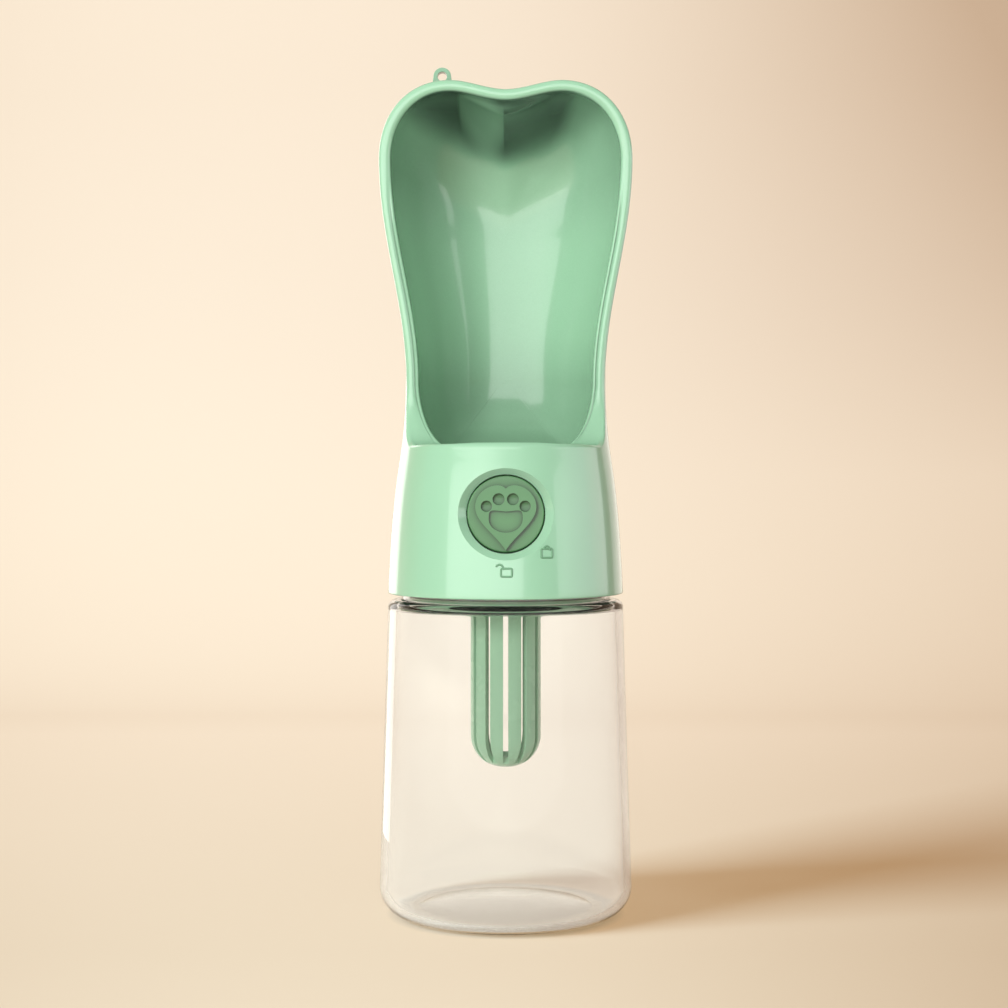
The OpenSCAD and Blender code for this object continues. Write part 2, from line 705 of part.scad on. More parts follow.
// Whole loops, with the -X half mirrored from the +X half
function loop_point(i, row) =
    i <= rim_n ? loft_point(i, row)
    : let(p = loft_point(loop_n - i, row)) [-p[0], p[1], p[2]];

// The head's outer skin, round rim and trough in one closed loft
module trough_loft() {
    points = [for (row = [0 : loft_rows - 1]) for (i = [0 : loop_n - 1]) loop_point(i, row)];
    foot = [for (i = [0 : loop_n - 1]) i];
    sides = [for (row = [0 : loft_rows - 2]) for (i = [0 : loop_n - 1])
        let(j = (i + 1) % loop_n, a = row * loop_n, b = a + loop_n)
        each [[a + i, b + i, b + j], [a + i, b + j, a + j]]];
    last = (loft_rows - 1) * loop_n;
    ladder = [for (i = [0 : rim_n - 1])
        let(l0 = (loop_n - i) % loop_n, l1 = loop_n - i - 1)
        each concat(i == 0 ? [] : [[last + i, last + l0, last + i + 1]],
            i == rim_n - 1 ? [] : [[last + i + 1, last + l0, last + l1]])];
    polyhedron(points, concat([foot], sides, ladder));
}

// Half outline of the lower head, from the skirt to a height, inset by w
module lower_outline(w, top) {
    steps = 12;
    heights = [for (i = [0 : steps]) mix(skirt_z, top, i / steps)];
    polygon(concat([[0, skirt_z]], [for (z = heights) [head_r(z) - w, z]], [[0, top]]));
}

// Strap loop that stands on the head's skin, behind its left round top
module strap_loop() {
    top = lobe_z + eye_rise;
    foot = lobe_z - loop_sink;
    foot_r = eye_r + loop_flare;
    color(MINT) difference() {
        translate([-eye_x, eye_y + eye_t / 2, 0]) rotate([90, 0, 0]) union() {
            translate([0, top, 0]) cylinder(r = eye_r, h = eye_t);
            linear_extrude(eye_t)
                polygon([[-eye_r, top], [-foot_r, foot], [foot_r, foot], [eye_r, top]]);
        }
        translate([-eye_x, eye_y + eye_t, top]) rotate([90, 0, 0])
            cylinder(r = eye_hole_r, h = 2 * eye_t);
        trough_loft();
    }
}

module head_shell() {
    color(MINT) difference() {
        union() {
            difference() {
                trough_loft();
                intersection() {
                    translate([0, 0, ledge_z + ledge_t]) cylinder(r = FAR, h = FAR);
                    revolve() lower_outline(head_wall, floor_z);
                }
                cylinder(r = skirt_bore_r, h = ledge_z);
                cylinder(r = skirt_bore_r - ledge_w, h = ledge_z + 2 * ledge_t);
            }
            intersection() {
                along_valve(-skirt_r) cylinder(r = well_outer_r, h = skirt_r + web_y);
                revolve() lower_outline(head_wall / 4, loft_z);
            }
        }
        along_valve(-skirt_r) cylinder(r = dish_r, h = skirt_r - dish_y);
        along_valve(-dish_y - EDGE) cylinder(r1 = dish_r, r2 = well_r + gap, h = dish_cone);
        along_valve(-dish_y) cylinder(r = well_r, h = dish_y + web_y);
        along_valve(well_step_y) cylinder(r = collar_r + gap, h = web_y - well_step_y + EDGE);
        translate([0, -outlet_y, floor_z - 1]) cylinder(r = grommet_r, h = lip_z - floor_z + 1);
    }
}

bottle();
neck_seal();
head_shell();
strap_loop();
base_plug();
filter_cage();
valve_chamber();
intake_seal();
outlet_grommet();
rear_cap();
rear_cap_o_ring();
thrust_ring();
stem_bush();
stem_o_rings();
spring_washer();
return_spring();
valve_stem();
poppet();
poppet_seal();
stem_clip();
lock_sleeve();
button_cap();
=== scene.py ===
import json
import math
import bpy
import bmesh
from mathutils import Matrix, Vector


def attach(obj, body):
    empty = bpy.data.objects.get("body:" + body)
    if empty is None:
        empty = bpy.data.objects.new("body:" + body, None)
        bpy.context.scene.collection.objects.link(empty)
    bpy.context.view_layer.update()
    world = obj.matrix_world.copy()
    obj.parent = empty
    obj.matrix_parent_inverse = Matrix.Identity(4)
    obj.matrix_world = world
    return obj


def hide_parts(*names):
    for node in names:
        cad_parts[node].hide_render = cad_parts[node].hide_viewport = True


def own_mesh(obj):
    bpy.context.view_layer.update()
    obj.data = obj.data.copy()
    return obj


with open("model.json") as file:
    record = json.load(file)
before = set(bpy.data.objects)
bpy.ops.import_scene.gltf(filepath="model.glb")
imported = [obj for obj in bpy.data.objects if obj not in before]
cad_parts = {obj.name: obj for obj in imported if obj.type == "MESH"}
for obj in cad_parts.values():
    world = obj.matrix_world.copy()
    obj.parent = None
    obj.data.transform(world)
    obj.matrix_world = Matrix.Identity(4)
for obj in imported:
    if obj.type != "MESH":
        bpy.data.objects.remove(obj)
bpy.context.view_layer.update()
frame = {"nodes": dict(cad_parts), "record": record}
scene = bpy.context.scene
MM = 0.001          # sizes are written in millimetres, and Blender's are metres


# Curves and outlines
def mix(a, b, u):
    return a + (b - a) * u


def bezier(a, b, c, d, u):
    v = 1 - u
    return a * (v * v * v) + b * (3 * v * v * u) + c * (3 * v * u * u) + d * (u * u * u)


def smooth(u):
    return u * u * (3 - 2 * u)


def clamp(u):
    return max(0.0, min(1.0, u))


def hermite(a, slope_a, b, slope_b, length, u):
    return bezier(a, a + slope_a * length / 3, b - slope_b * length / 3, b, u)


def spline(points, steps):
    """Points of a Catmull-Rom curve through the given ones, ends included."""
    ext = [points[0] * 2 - points[1]] + list(points) + [points[-1] * 2 - points[-2]]
    out = []
    for i in range(1, len(ext) - 2):
        a, b, c, d = ext[i - 1:i + 3]
        for j in range(steps):
            u = j / steps
            out.append((b * 2 + (c - a) * u + (a * 2 - b * 5 + c * 4 - d) * u * u
                        + (b * 3 - a - c * 3 + d) * u * u * u) * 0.5)
    out.append(points[-1])
    return out


def fillet(corners, steps=6, closed=False):
    """Polyline through (x, y, radius) corners, each rounded by its radius."""
    out = []
    n = len(corners)
    for i, (x, y, rad) in enumerate(corners):
        p = Vector((x, y))
        if rad == 0 or (not closed and i in (0, n - 1)):
            out.append(p)
            continue
        a = Vector(corners[i - 1][:2]) - p
        b = Vector(corners[(i + 1) % n][:2]) - p
        half = a.angle(b) / 2
        cut = min(rad / math.tan(half), 0.49 * a.length, 0.49 * b.length)
        rad = cut * math.tan(half)
        middle = p + (a.normalized() + b.normalized()).normalized() * (rad / math.sin(half))
        start = p + a.normalized() * cut - middle
        end = p + b.normalized() * cut - middle
        sweep = start.angle_signed(end)
        for j in range(steps + 1):
            u = -sweep * j / steps
            c, s = math.cos(u), math.sin(u)
            out.append(middle + Vector((start.x * c - start.y * s,
                                        start.x * s + start.y * c)))
    return out


def arc(circle, start, end, steps):
    """Points on a circle, given as (x, y, radius), from one angle to another."""
    x, y, radius = circle
    angles = [mix(start, end, i / steps) for i in range(steps + 1)]
    return [(x + radius * math.cos(a), y + radius * math.sin(a)) for a in angles]


def pairs(points):
    return [tuple(p) for p in points]


# Solids
def new_object(name, verts, faces):
    mesh = bpy.data.meshes.new(name)
    mesh.from_pydata([tuple(Vector(v) * MM) for v in verts], [], faces)
    bm = bmesh.new()
    bm.from_mesh(mesh)
    bmesh.ops.remove_doubles(bm, verts=bm.verts, dist=1e-7)
    bmesh.ops.recalc_face_normals(bm, faces=bm.faces)
    bm.to_mesh(mesh)
    bm.free()
    obj = bpy.data.objects.new(name, mesh)
    scene.collection.objects.link(obj)
    return obj


def without_repeats(ring):
    return [v for i, v in enumerate(ring) if v not in ring[:i]]


def revolve(name, profile, n=160):
    """Solid of revolution about Z: the outline runs from axis to axis, or is a closed ring."""
    verts, rows = [], []
    for r, z in profile:
        if r < 1e-6:
            rows.append([len(verts)])
            verts.append((0, 0, z))
            continue
        rows.append(range(len(verts), len(verts) + n))
        turns = [2 * math.pi * i / n for i in range(n)]
        verts += [(r * math.cos(a), r * math.sin(a), z) for a in turns]
    if len(rows[0]) > 1:
        rows.append(rows[0])
    faces = []
    for a, b in zip(rows, rows[1:]):
        for i in range(n):
            j = (i + 1) % n
            ring = without_repeats([a[i % len(a)], b[i % len(b)], b[j % len(b)], a[j % len(a)]])
            if len(ring) > 2:
                faces.append(ring)
    return new_object(name, verts, faces)


def disc(name, radius, low, high, n):
    """Plain round cutter or boss along Z."""
    return revolve(name, [(0, low), (radius, low), (radius, high), (0, high)], n)


def prism(name, outline, low, high):
    """Outline in the XY plane pulled from low to high along Z."""
    n = len(outline)
    verts = [(x, y, low) for x, y in outline] + [(x, y, high) for x, y in outline]
    faces = [list(range(n)), list(range(n, 2 * n))]
    faces += [(i, (i + 1) % n, n + (i + 1) % n, n + i) for i in range(n)]
    return new_object(name, verts, faces)


def sweep(name, rings, closed=False):
    """Skin over rings of equal count, with flat ends unless it closes on itself."""
    count, n = len(rings), len(rings[0])
    verts = [v for ring in rings for v in ring]
    faces = []
    for i in range(count if closed else count - 1):
        a, b = i * n, (i + 1) % count * n
        faces += [(a + j, a + (j + 1) % n, b + (j + 1) % n, b + j) for j in range(n)]
    if not closed:
        faces += [list(range(n)), list(range((count - 1) * n, count * n))]
    return new_object(name, verts, faces)


def place(obj, matrix):
    obj.data.transform(matrix)
    return obj


def shift(x, y, z):
    return Matrix.Translation(Vector((x, y, z)) * MM)


def to_front(y, z=0.0):
    """Turns a shape's +Z to -Y, with its XY origin on the axis at height z and its base at y."""
    return shift(0, y, z) @ Matrix.Rotation(math.radians(90), 4, "X")


def settle(obj):
    """Bakes the object's modifiers into its mesh."""
    graph = bpy.context.evaluated_depsgraph_get()
    mesh = bpy.data.meshes.new_from_object(obj.evaluated_get(graph))
    obj.modifiers.clear()
    obj.data = mesh
    return obj


def combine(obj, other, how):
    mod = obj.modifiers.new("join", "BOOLEAN")
    mod.operation = how
    mod.solver = "MANIFOLD"
    mod.object = other
    bpy.context.view_layer.update()
    settle(obj)
    bpy.data.objects.remove(other)


def soften(obj, width, segments, angle):
    """Rounds the edges that are sharper than the angle."""
    mod = obj.modifiers.new("soften", "BEVEL")
    mod.width = width * MM
    mod.segments = segments
    mod.limit_method = "ANGLE"
    mod.angle_limit = math.radians(angle)
    mod.miter_outer = "MITER_ARC"
    return settle(obj)


def shade(obj, angle):
    """Smooth shading that stays sharp past the angle, with flat faces kept flat."""
    mesh = obj.data
    for poly in mesh.polygons:
        poly.use_smooth = True
    mesh.set_sharp_from_angle(angle=math.radians(angle))
    mod = obj.modifiers.new("normals", "WEIGHTED_NORMAL")
    mod.mode = "FACE_AREA_WITH_ANGLE"
    mod.weight = 100
    mod.keep_sharp = True
    return settle(obj)


def finish_piece(obj, body, material, stands_for=(), angle=35):
    shade(obj, angle)
    obj.data.materials.clear()
    obj.data.materials.append(material)
    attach(obj, body)
    if stands_for:
        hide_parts(*stands_for)
    return obj


# Materials
def linear(r, g, b):
    """A colour as a picture shows it, 0 to 255, in the linear values that shaders take."""
    return tuple(((c / 255 + 0.055) / 1.055) ** 2.4 if c > 10 else c / 255 / 12.92
                 for c in (r, g, b)) + (1.0,)


class Nodes:
    """A material's node tree, with short calls for the nodes that repeat."""
    MIX_A, MIX_B, MIX_RESULT = 6, 7, 2      # the colour sockets of a Mix node

    def __init__(self, name):
        self.mat = bpy.data.materials.new(name)
        self.mat.use_nodes = True
        self.tree = self.mat.node_tree
        self.bsdf = self.tree.nodes["Principled BSDF"]
        self.coords = self.add("ShaderNodeTexCoord")

    def add(self, kind, **values):
        node = self.tree.nodes.new(kind)
        for key, value in values.items():
            setattr(node, key, value)
        return node

    def link(self, a, b):
        self.tree.links.new(a, b)

    def fill(self, socket, value):
        if isinstance(value, (int, float, tuple)):
            socket.default_value = value
        else:
            self.link(value, socket)

    def set(self, **values):
        """Constants on the shader's own sockets: Coat_Weight is Coat Weight."""
        for key, value in values.items():
            self.bsdf.inputs[key.replace("_", " ")].default_value = value

    def surface(self, shader):
        self.link(shader, self.tree.nodes["Material Output"].inputs["Surface"])

    def axes(self, vector):
        node = self.add("ShaderNodeSeparateXYZ")
        self.link(vector, node.inputs["Vector"])
        return [node.outputs[axis] for axis in "XYZ"]

    def noise(self, scale, detail=3.0, rough=0.5, stretch=(1, 1, 1)):
        turn = self.add("ShaderNodeMapping")
        turn.inputs["Scale"].default_value = stretch
        self.link(self.coords.outputs["Object"], turn.inputs["Vector"])
        node = self.add("ShaderNodeTexNoise")
        node.inputs["Scale"].default_value = scale
        node.inputs["Detail"].default_value = detail
        node.inputs["Roughness"].default_value = rough
        self.link(turn.outputs["Vector"], node.inputs["Vector"])
        return node.outputs["Fac"]

    def span(self, source, low=0.0, high=1.0, start=0.0, end=1.0, how="LINEAR"):
        """Takes source from start..end to low..high."""
        node = self.add("ShaderNodeMapRange", interpolation_type=how)
        for key, value in (("From Min", start), ("From Max", end), ("To Min", low),
                           ("To Max", high)):
            node.inputs[key].default_value = value
        self.link(source, node.inputs["Value"])
        return node.outputs["Result"]

    def math(self, how, a, b=0.0, clamp=False):
        node = self.add("ShaderNodeMath", operation=how, use_clamp=clamp)
        self.fill(node.inputs[0], a)
        self.fill(node.inputs[1], b)
        return node.outputs["Value"]

    def blend(self, how, factor, a, b):
        node = self.add("ShaderNodeMix", data_type="RGBA", blend_type=how)
        self.fill(node.inputs["Factor"], factor)
        self.fill(node.inputs[self.MIX_A], a)
        self.fill(node.inputs[self.MIX_B], b)
        return node.outputs[self.MIX_RESULT]

    def painted_hollow_shade(self, color, deep, reach, power):
        """Painted shade: colour that turns towards the deep tone where the surface lies in a
        recess of its own piece.
        """
        node = self.add("ShaderNodeAmbientOcclusion", samples=12, only_local=True)
        node.inputs["Distance"].default_value = reach
        return self.blend("MIX", self.math("POWER", node.outputs["AO"], power), deep, color)

    def roof(self, low):
        """Mask of the painted shade under the trough's roof: 1 on what faces down above a
        height, where no light of a real room comes, else 0.
        """
        face_x, _, face_z = self.axes(self.add("ShaderNodeNewGeometry").outputs["Normal"])
        height = self.axes(self.coords.outputs["Object"])[2]
        down = self.span(face_z, 0, 0.9, -0.5, -0.93, "SMOOTHSTEP")
        # the painted shade is lighter on the slopes that look left, which catch some of the
        # light
        left = self.span(face_x, 1, 0.35, -0.05, -0.35, "SMOOTHSTEP")
        high = self.span(height, 0, 1, low, low + 0.02)
        return self.math("MULTIPLY", self.math("MULTIPLY", down, left), high)

    def bump(self, source, height, distance):
        node = self.add("ShaderNodeBump")
        node.inputs["Strength"].default_value = height
        node.inputs["Distance"].default_value = distance
        self.link(source, node.inputs["Height"])
        self.link(node.outputs["Normal"], self.bsdf.inputs["Normal"])


# the scales of the noise on moulded plastic, in waves per metre
COLOR_DRIFT, GLOSS_DRIFT, MOULD_GRAIN = 28.0, 160.0, 900.0


def moulded(name, dark, light, rough, coat=0.0, scatter=0.0, deep=None, reach=0.0, power=1.0,
            roof_z=0.0):
    """Injection-moulded plastic: slow colour drift, uneven gloss, a very fine mould texture,
    and, where asked, painted shade in its own hollows and on what faces down above roof_z.
    """
    n = Nodes(name)
    color = n.blend("MIX", n.noise(COLOR_DRIFT, 4.0), dark, light)
    # painted shade: with deep given, the colour darkens towards it in the piece's own hollows,
    # and above roof_z on what faces down
    if deep:
        color = n.painted_hollow_shade(color, deep, reach, power)
    if roof_z:
        color = n.blend("MIX", n.roof(roof_z), color, deep)
    n.link(color, n.bsdf.inputs["Base Color"])
    gloss = n.span(n.noise(GLOSS_DRIFT, 4.0), rough * 0.85, rough * 1.2)
    n.link(gloss, n.bsdf.inputs["Roughness"])
    n.bump(n.noise(MOULD_GRAIN, 5.0, 0.6), 0.02, 0.0004)
    n.set(IOR=1.5, Coat_Weight=coat, Coat_Roughness=0.06)
    if scatter:
        n.set(Subsurface_Weight=scatter, Subsurface_Radius=(0.6, 1.0, 0.7),
              Subsurface_Scale=0.0015)
    return n.mat


def clear_plastic():
    """Clear blown plastic, whose walls are a little uneven."""
    n = Nodes("clear_plastic")
    n.set(Base_Color=(0.985, 0.985, 0.975, 1), Transmission_Weight=0.98, IOR=1.45)
    n.link(n.span(n.noise(60.0), 0.0, 0.03), n.bsdf.inputs["Roughness"])
    n.bump(n.noise(22.0, 2.0, 0.4, (1, 1, 0.35)), 0.03, 0.0006)
    # lamps shine through the walls, which take a little of their light
    film = n.add("ShaderNodeBsdfTransparent")
    film.inputs["Color"].default_value = (0.74, 0.74, 0.73, 1)
    pick = n.add("ShaderNodeMixShader")
    n.link(n.add("ShaderNodeLightPath").outputs["Is Shadow Ray"], pick.inputs["Fac"])
    n.link(n.bsdf.outputs["BSDF"], pick.inputs[1])
    n.link(film.outputs["BSDF"], pick.inputs[2])
    n.surface(pick.outputs["Shader"])
    return n.mat


def silicone():
    n = Nodes("silicone")
    color = n.blend("MIX", n.noise(90.0), linear(196, 202, 198), linear(222, 226, 222))
    n.link(color, n.bsdf.inputs["Base Color"])
    n.link(n.span(n.noise(400.0), 0.42, 0.6), n.bsdf.inputs["Roughness"])
    n.set(Subsurface_Weight=0.3, Subsurface_Scale=0.001)
    n.bump(n.noise(1500.0), 0.05, 0.0003)
    return n.mat


def steel():
    """Drawn wire and turned pin, with fine marks along Y."""
    n = Nodes("steel")
    n.set(Metallic=1.0)
    color = n.blend("MIX", n.noise(300.0, 3.0, 0.5, (1, 0.1, 1)), linear(176, 178, 180),
                    linear(212, 212, 210))
    n.link(color, n.bsdf.inputs["Base Color"])
    n.link(n.span(n.noise(700.0, 4.0, 0.6, (1, 0.08, 1)), 0.18, 0.36),
           n.bsdf.inputs["Roughness"])
    n.bump(n.noise(1600.0, 3.0, 0.5, (1, 0.06, 1)), 0.04, 0.0002)
    return n.mat


ROOF_FROM = 0.205       # height in metres where the trough's roof starts, and with it the painted shade under the roof
# the head's mint carries painted shade: it darkens towards linear(14, 20, 14) in its own hollows
# and on the trough's roof
MINT = moulded("mint_plastic", linear(156, 203, 167), linear(162, 209, 173), 0.22, coat=0.6,
               scatter=0.05, deep=linear(14, 20, 14), reach=0.037, roof_z=ROOF_FROM)
# the strainer's own mint, without painted shade, but painted a little lighter and bluer than the
# head's to stand in for the light it loses behind the bottle's walls
MINT_INSIDE = moulded("mint_inside", linear(158, 210, 175), linear(164, 216, 181), 0.26,
                      coat=0.4)
# the padlock lines: the head's mint painted darker, to stand in for the shade along the raised
# lines
SHADED_MINT_LINE = moulded("shaded_mint_line", linear(112, 158, 122), linear(118, 164, 128), 0.3)
# the button's sage carries painted shade: it darkens towards linear(22, 36, 24) in the paw's
# recesses and round the raised heart
SAGE = moulded("sage_plastic", linear(80, 130, 82), linear(86, 136, 88), 0.3, coat=0.2,
               deep=linear(22, 36, 24), reach=0.0028, power=1.2)
WHITE = moulded("white_plastic", linear(226, 228, 220), linear(234, 236, 230), 0.42)
CLEAR = clear_plastic()
STEEL = steel()
BY_SLOT = {"clear_plastic": CLEAR, "mint_plastic": MINT, "sage_plastic": SAGE,
           "silicone": silicone(), "white_plastic": WHITE, "steel": STEEL}
for part in frame["record"]["subparts"]:
    slots = frame["nodes"][part["node"]].data.materials
    slots.clear()
    slots.append(BY_SLOT[part["material_slot"]])

# The camera, at the photograph's viewing angle
CAMERA_AT, CAMERA_DOWN = (-0.5, -587.0, 131.3), 0.85        # mm and degrees
camera = bpy.data.objects.new("camera", bpy.data.cameras.new("camera"))
scene.collection.objects.link(camera)
camera.data.lens = 69.93
camera.data.sensor_width = 36.0
camera.location = Vector(CAMERA_AT) * MM
camera.rotation_euler = (math.radians(90 - CAMERA_DOWN), 0, 0)
scene.camera = camera

# The floor and backdrop. GLOW colours are light that only the camera, mirror rays and
# see-through rays meet.
BACKDROP_WIDE, BACKDROP_NEAR, BACKDROP_FAR = 9000, -9000, 900
BACKDROP_TOP, BACKDROP_BEND = 2600, 420
PAPER = (0.41, 0.47, 0.44, 1)
PAPER_BOUNCE = (0.21, 0.20, 0.19, 1)        # the paper as diffuse light meets it
CORNER_DIM = (0.72, 0.64, 0.57, 1)          # painted light falloff, towards the right corners and the left edge
BOTTLE_SHADOW_TONE = (0.74, 0.77, 0.80, 1)           # painted shadow right under the bottle
GLOW = (0.355, 0.145, 0.005, 1)
GLOW_THROUGH = (0.13, 0.19, 0.24, 1)        # more, where the clear bottle shows it
GLOW_BACK = (0.20, 0.20, 0.19, 1)           # more, behind the object
GLOW_HIGH = (0.06, 0.06, 0.04, 1)           # less, up the wall
GLOW_FRONT = (0.22, 0.28, 0.30, 1)          # more, behind the camera, for views from the back
VIEW_Y, VIEW_Z = 0.587, 0.131               # metres: the gradients fan out from this point
UNDER_R, UNDER_EDGE = 0.036, 250.0          # metres: the bottle's foot, where the painted shadow under it ends, and how sharp it ends
# how fast the painted light falloff deepens the right side: at the view's height, more above it
# and below it
RIGHT_DIM, RIGHT_DIM_UP, RIGHT_DIM_DOWN, LEFT_DIM = 1.9, 28.0, -7.0, 5.0


def sweep_backdrop():
    """Floor that curves up into a wall, one sheet."""
    profile = fillet([(BACKDROP_NEAR, 0, 0), (BACKDROP_FAR, 0, BACKDROP_BEND),
                      (BACKDROP_FAR, BACKDROP_TOP, 0)], 24)
    verts = [(x, p.x, p.y) for x in (-BACKDROP_WIDE, BACKDROP_WIDE) for p in profile]
    n = len(profile)
    faces = [(i, i + 1, n + i + 1, n + i) for i in range(n - 1)]
    return new_object("backdrop", verts, faces)


def paper_dim(n, x, y, z):
    """Painted light falloff over the paper, darker towards its corners, and a painted shadow
    under the bottle.
    """
    away = n.math("ADD", y, VIEW_Y)
    u = n.math("DIVIDE", x, away)
    v = n.math("DIVIDE", n.math("ADD", z, -VIEW_Z), away)
    up = n.math("MULTIPLY", n.math("MAXIMUM", v, 0.0), RIGHT_DIM_UP)
    down = n.math("MULTIPLY", n.math("MINIMUM", v, 0.0), RIGHT_DIM_DOWN)
    tilt = n.math("ADD", down, n.math("ADD", up, RIGHT_DIM))
    right = n.math("MULTIPLY", n.math("POWER", n.math("MAXIMUM", u, 0.0), 1.5), tilt)
    left = n.math("MULTIPLY", n.math("POWER", n.math("MINIMUM", u, 0.0), 2.0), LEFT_DIM)
    dim = n.blend("MIX", n.math("ADD", right, left, True), (1, 1, 1, 1), CORNER_DIM)
    square = n.math("ADD", n.math("POWER", x, 2.0), n.math("POWER", y, 2.0))
    inside = n.math("SUBTRACT", UNDER_R, n.math("SQRT", square))
    under = n.math("MULTIPLY", inside, UNDER_EDGE, True)
    return n.blend("MULTIPLY", under, dim, BOTTLE_SHADOW_TONE)


def backdrop_material():
    """Warm paper. Light that bounces on to the object meets a dull grey instead, so that the
    hollows stay as deep as in the photograph."""
    n = Nodes("backdrop_paper")
    n.set(Roughness=1.0, Specular_IOR_Level=0.0)
    rays = n.add("ShaderNodeLightPath").outputs
    seen = n.math("MAXIMUM", n.math("MAXIMUM", rays["Is Camera Ray"],
                                    rays["Is Transmission Ray"]), rays["Is Glossy Ray"])
    x, y, z = n.axes(n.coords.outputs["Object"])
    # painted light falloff and the painted shadow under the bottle, laid on both the paper and
    # its glow
    dim = paper_dim(n, x, y, z)
    paper = n.blend("MULTIPLY", 0.05, PAPER, n.noise(3.0, 6.0))
    paper = n.blend("MULTIPLY", 1.0, paper, dim)
    n.link(n.blend("MIX", seen, PAPER_BOUNCE, paper), n.bsdf.inputs["Base Color"])
    back = n.span(y, start=-0.05, end=0.4)
    front = n.span(y, start=-0.62, end=-1.6, how="SMOOTHSTEP")
    high = n.span(z, start=0.0, end=0.3, how="SMOOTHSTEP")
    shine = n.blend("ADD", back, GLOW, GLOW_BACK)
    shine = n.blend("ADD", front, shine, GLOW_FRONT)
    shine = n.blend("SUBTRACT", high, shine, GLOW_HIGH)
    shine = n.blend("MULTIPLY", 1.0, shine, dim)
    glow = n.add("ShaderNodeEmission")
    n.link(n.blend("ADD", rays["Is Transmission Ray"], shine, GLOW_THROUGH),
           glow.inputs["Color"])
    n.link(seen, glow.inputs["Strength"])
    both = n.add("ShaderNodeAddShader")
    n.link(n.bsdf.outputs["BSDF"], both.inputs[0])
    n.link(glow.outputs["Emission"], both.inputs[1])
    n.surface(both.outputs["Shader"])
    return n.mat


backdrop = sweep_backdrop()
shade(backdrop, 60)
backdrop.data.materials.append(backdrop_material())

# The head: sizes as in the CAD
SKIRT_Z, SKIRT_R = 96.0, 35.2
LIP_Z, WAIST_Z, WAIST_R = 140.0, 158.0, 29.9
WIDEST_Z, WIDEST_X = 224.0, 37.4
LOBE_Z, LOBE_X, NOTCH = 247.1, 16.5, 2.6
RIM_W, BASIN, BACK_Y, HEAD_WALL = 3.4, 2.2, 28.5, 2.5
RIM_Y_WAIST, RIM_Y_TOP = 6, 12              # how far in front of the axis the rim runs
LOFT_Z, LOFT_R = LIP_Z - 4.8, WAIST_R + 1.9
FLOOR_Z = LOFT_Z - 1
VALVE_Z = 120.2
FOLD_H, FOLD_W = 3.0, 14.0
# the rim's stretches, counted from the middle of the lip to the notch, and steps in each
LIP_N, CORNER_N, SIDE_N, LOBE_N, TOP_N = 8, 6, 9, 8, 4
CORNER_END = LIP_N + CORNER_N
SIDE_END = CORNER_END + SIDE_N
LOBE_END = SIDE_END + LOBE_N
RIM_N = LOBE_END + TOP_N
FINE = 5


def head_r(z):
    """Radius of the round wall: a skirt that narrows to the waist."""
    if z < LOFT_Z:
        return hermite(SKIRT_R, -0.05, LOFT_R, -0.16, LOFT_Z - SKIRT_Z,
                       (z - SKIRT_Z) / (LOFT_Z - SKIRT_Z))
    if z < WAIST_Z:
        return hermite(LOFT_R, -0.16, WAIST_R, 0, WAIST_Z - LOFT_Z,
                       (z - LOFT_Z) / (WAIST_Z - LOFT_Z))
    return WAIST_R


LIP_R = head_r(LIP_Z)
CORNER_Y, CORNER_X = 15.0, 17.2
CORNER_A = math.acos(CORNER_Y / LIP_R)
LIP_IN = LIP_R - RIM_W + 0.4
SIDE_X = math.sqrt(WAIST_R ** 2 - RIM_Y_WAIST ** 2)
REACH = 0.36 * (WIDEST_Z - WAIST_Z)


def rim_y(z):
    rise = max(0, z - WAIST_Z) / (LOBE_Z - WAIST_Z)
    return -mix(RIM_Y_WAIST, RIM_Y_TOP, rise ** 1.5)


def rim_point(k, inner):
    """A point of the rim's outer or inner edge. The other numbers are the curves' handles."""
    w = RIM_W if inner else 0
    if k <= LIP_N:
        u = k / LIP_N
        if inner:
            return Vector((bezier(0, CORNER_X / 2, CORNER_X, CORNER_X, u),
                           bezier(-LIP_IN, -LIP_IN, -CORNER_Y - 9, -CORNER_Y, u), LIP_Z))
        a = -math.pi / 2 + u * CORNER_A
        return Vector((LIP_R * math.cos(a), LIP_R * math.sin(a), LIP_Z))
    if k <= CORNER_END:
        u = (k - LIP_N) / CORNER_N
        y = bezier(-CORNER_Y, 5 - CORNER_Y, -RIM_Y_WAIST - 0.3, -RIM_Y_WAIST, u)
        z = bezier(LIP_Z, LIP_Z, mix(LIP_Z, WAIST_Z, 0.39), WAIST_Z, u)
        x = math.sqrt(head_r(z) ** 2 - y * y)
        if inner:
            x = bezier(CORNER_X, CORNER_X + 3.3, SIDE_X - RIM_W - 0.6, SIDE_X - RIM_W, u)
        return Vector((x, y, z))
    if k <= SIDE_END:
        u = (k - CORNER_END) / SIDE_N
        x = bezier(SIDE_X - w, SIDE_X - w, WIDEST_X - w, WIDEST_X - w, u)
        z = bezier(WAIST_Z, WAIST_Z + REACH, WIDEST_Z - REACH, WIDEST_Z, u)
    elif k <= LOBE_END:
        u = (k - SIDE_END) / LOBE_N
        x = bezier(WIDEST_X - w, WIDEST_X - w, mix(LOBE_X, WIDEST_X - w, 0.58), LOBE_X, u)
        z = bezier(WIDEST_Z, mix(WIDEST_Z, LOBE_Z - w, 0.6), LOBE_Z - w, LOBE_Z - w, u)
    else:
        u = (k - LOBE_END) / TOP_N
        x = LOBE_X * (1 - u)
        z = LOBE_Z - w - NOTCH * smooth(u)
    return Vector((x, rim_y(z), z))


def lean(k):
    """0 at the lip to 1 from the widest point up: how far the wall leans forward."""
    return smooth(clamp((k - LIP_N) / (CORNER_N + SIDE_N)))


def low(k):
    """1 at the lip to 0 a little above the corner: how much of the basin shows."""
    return 1 - smooth(clamp(k / (CORNER_END + 3)))


def centre_z(k):
    return min(LOBE_Z - 42.1, max(WAIST_Z + 4, rim_point(k, True).z))


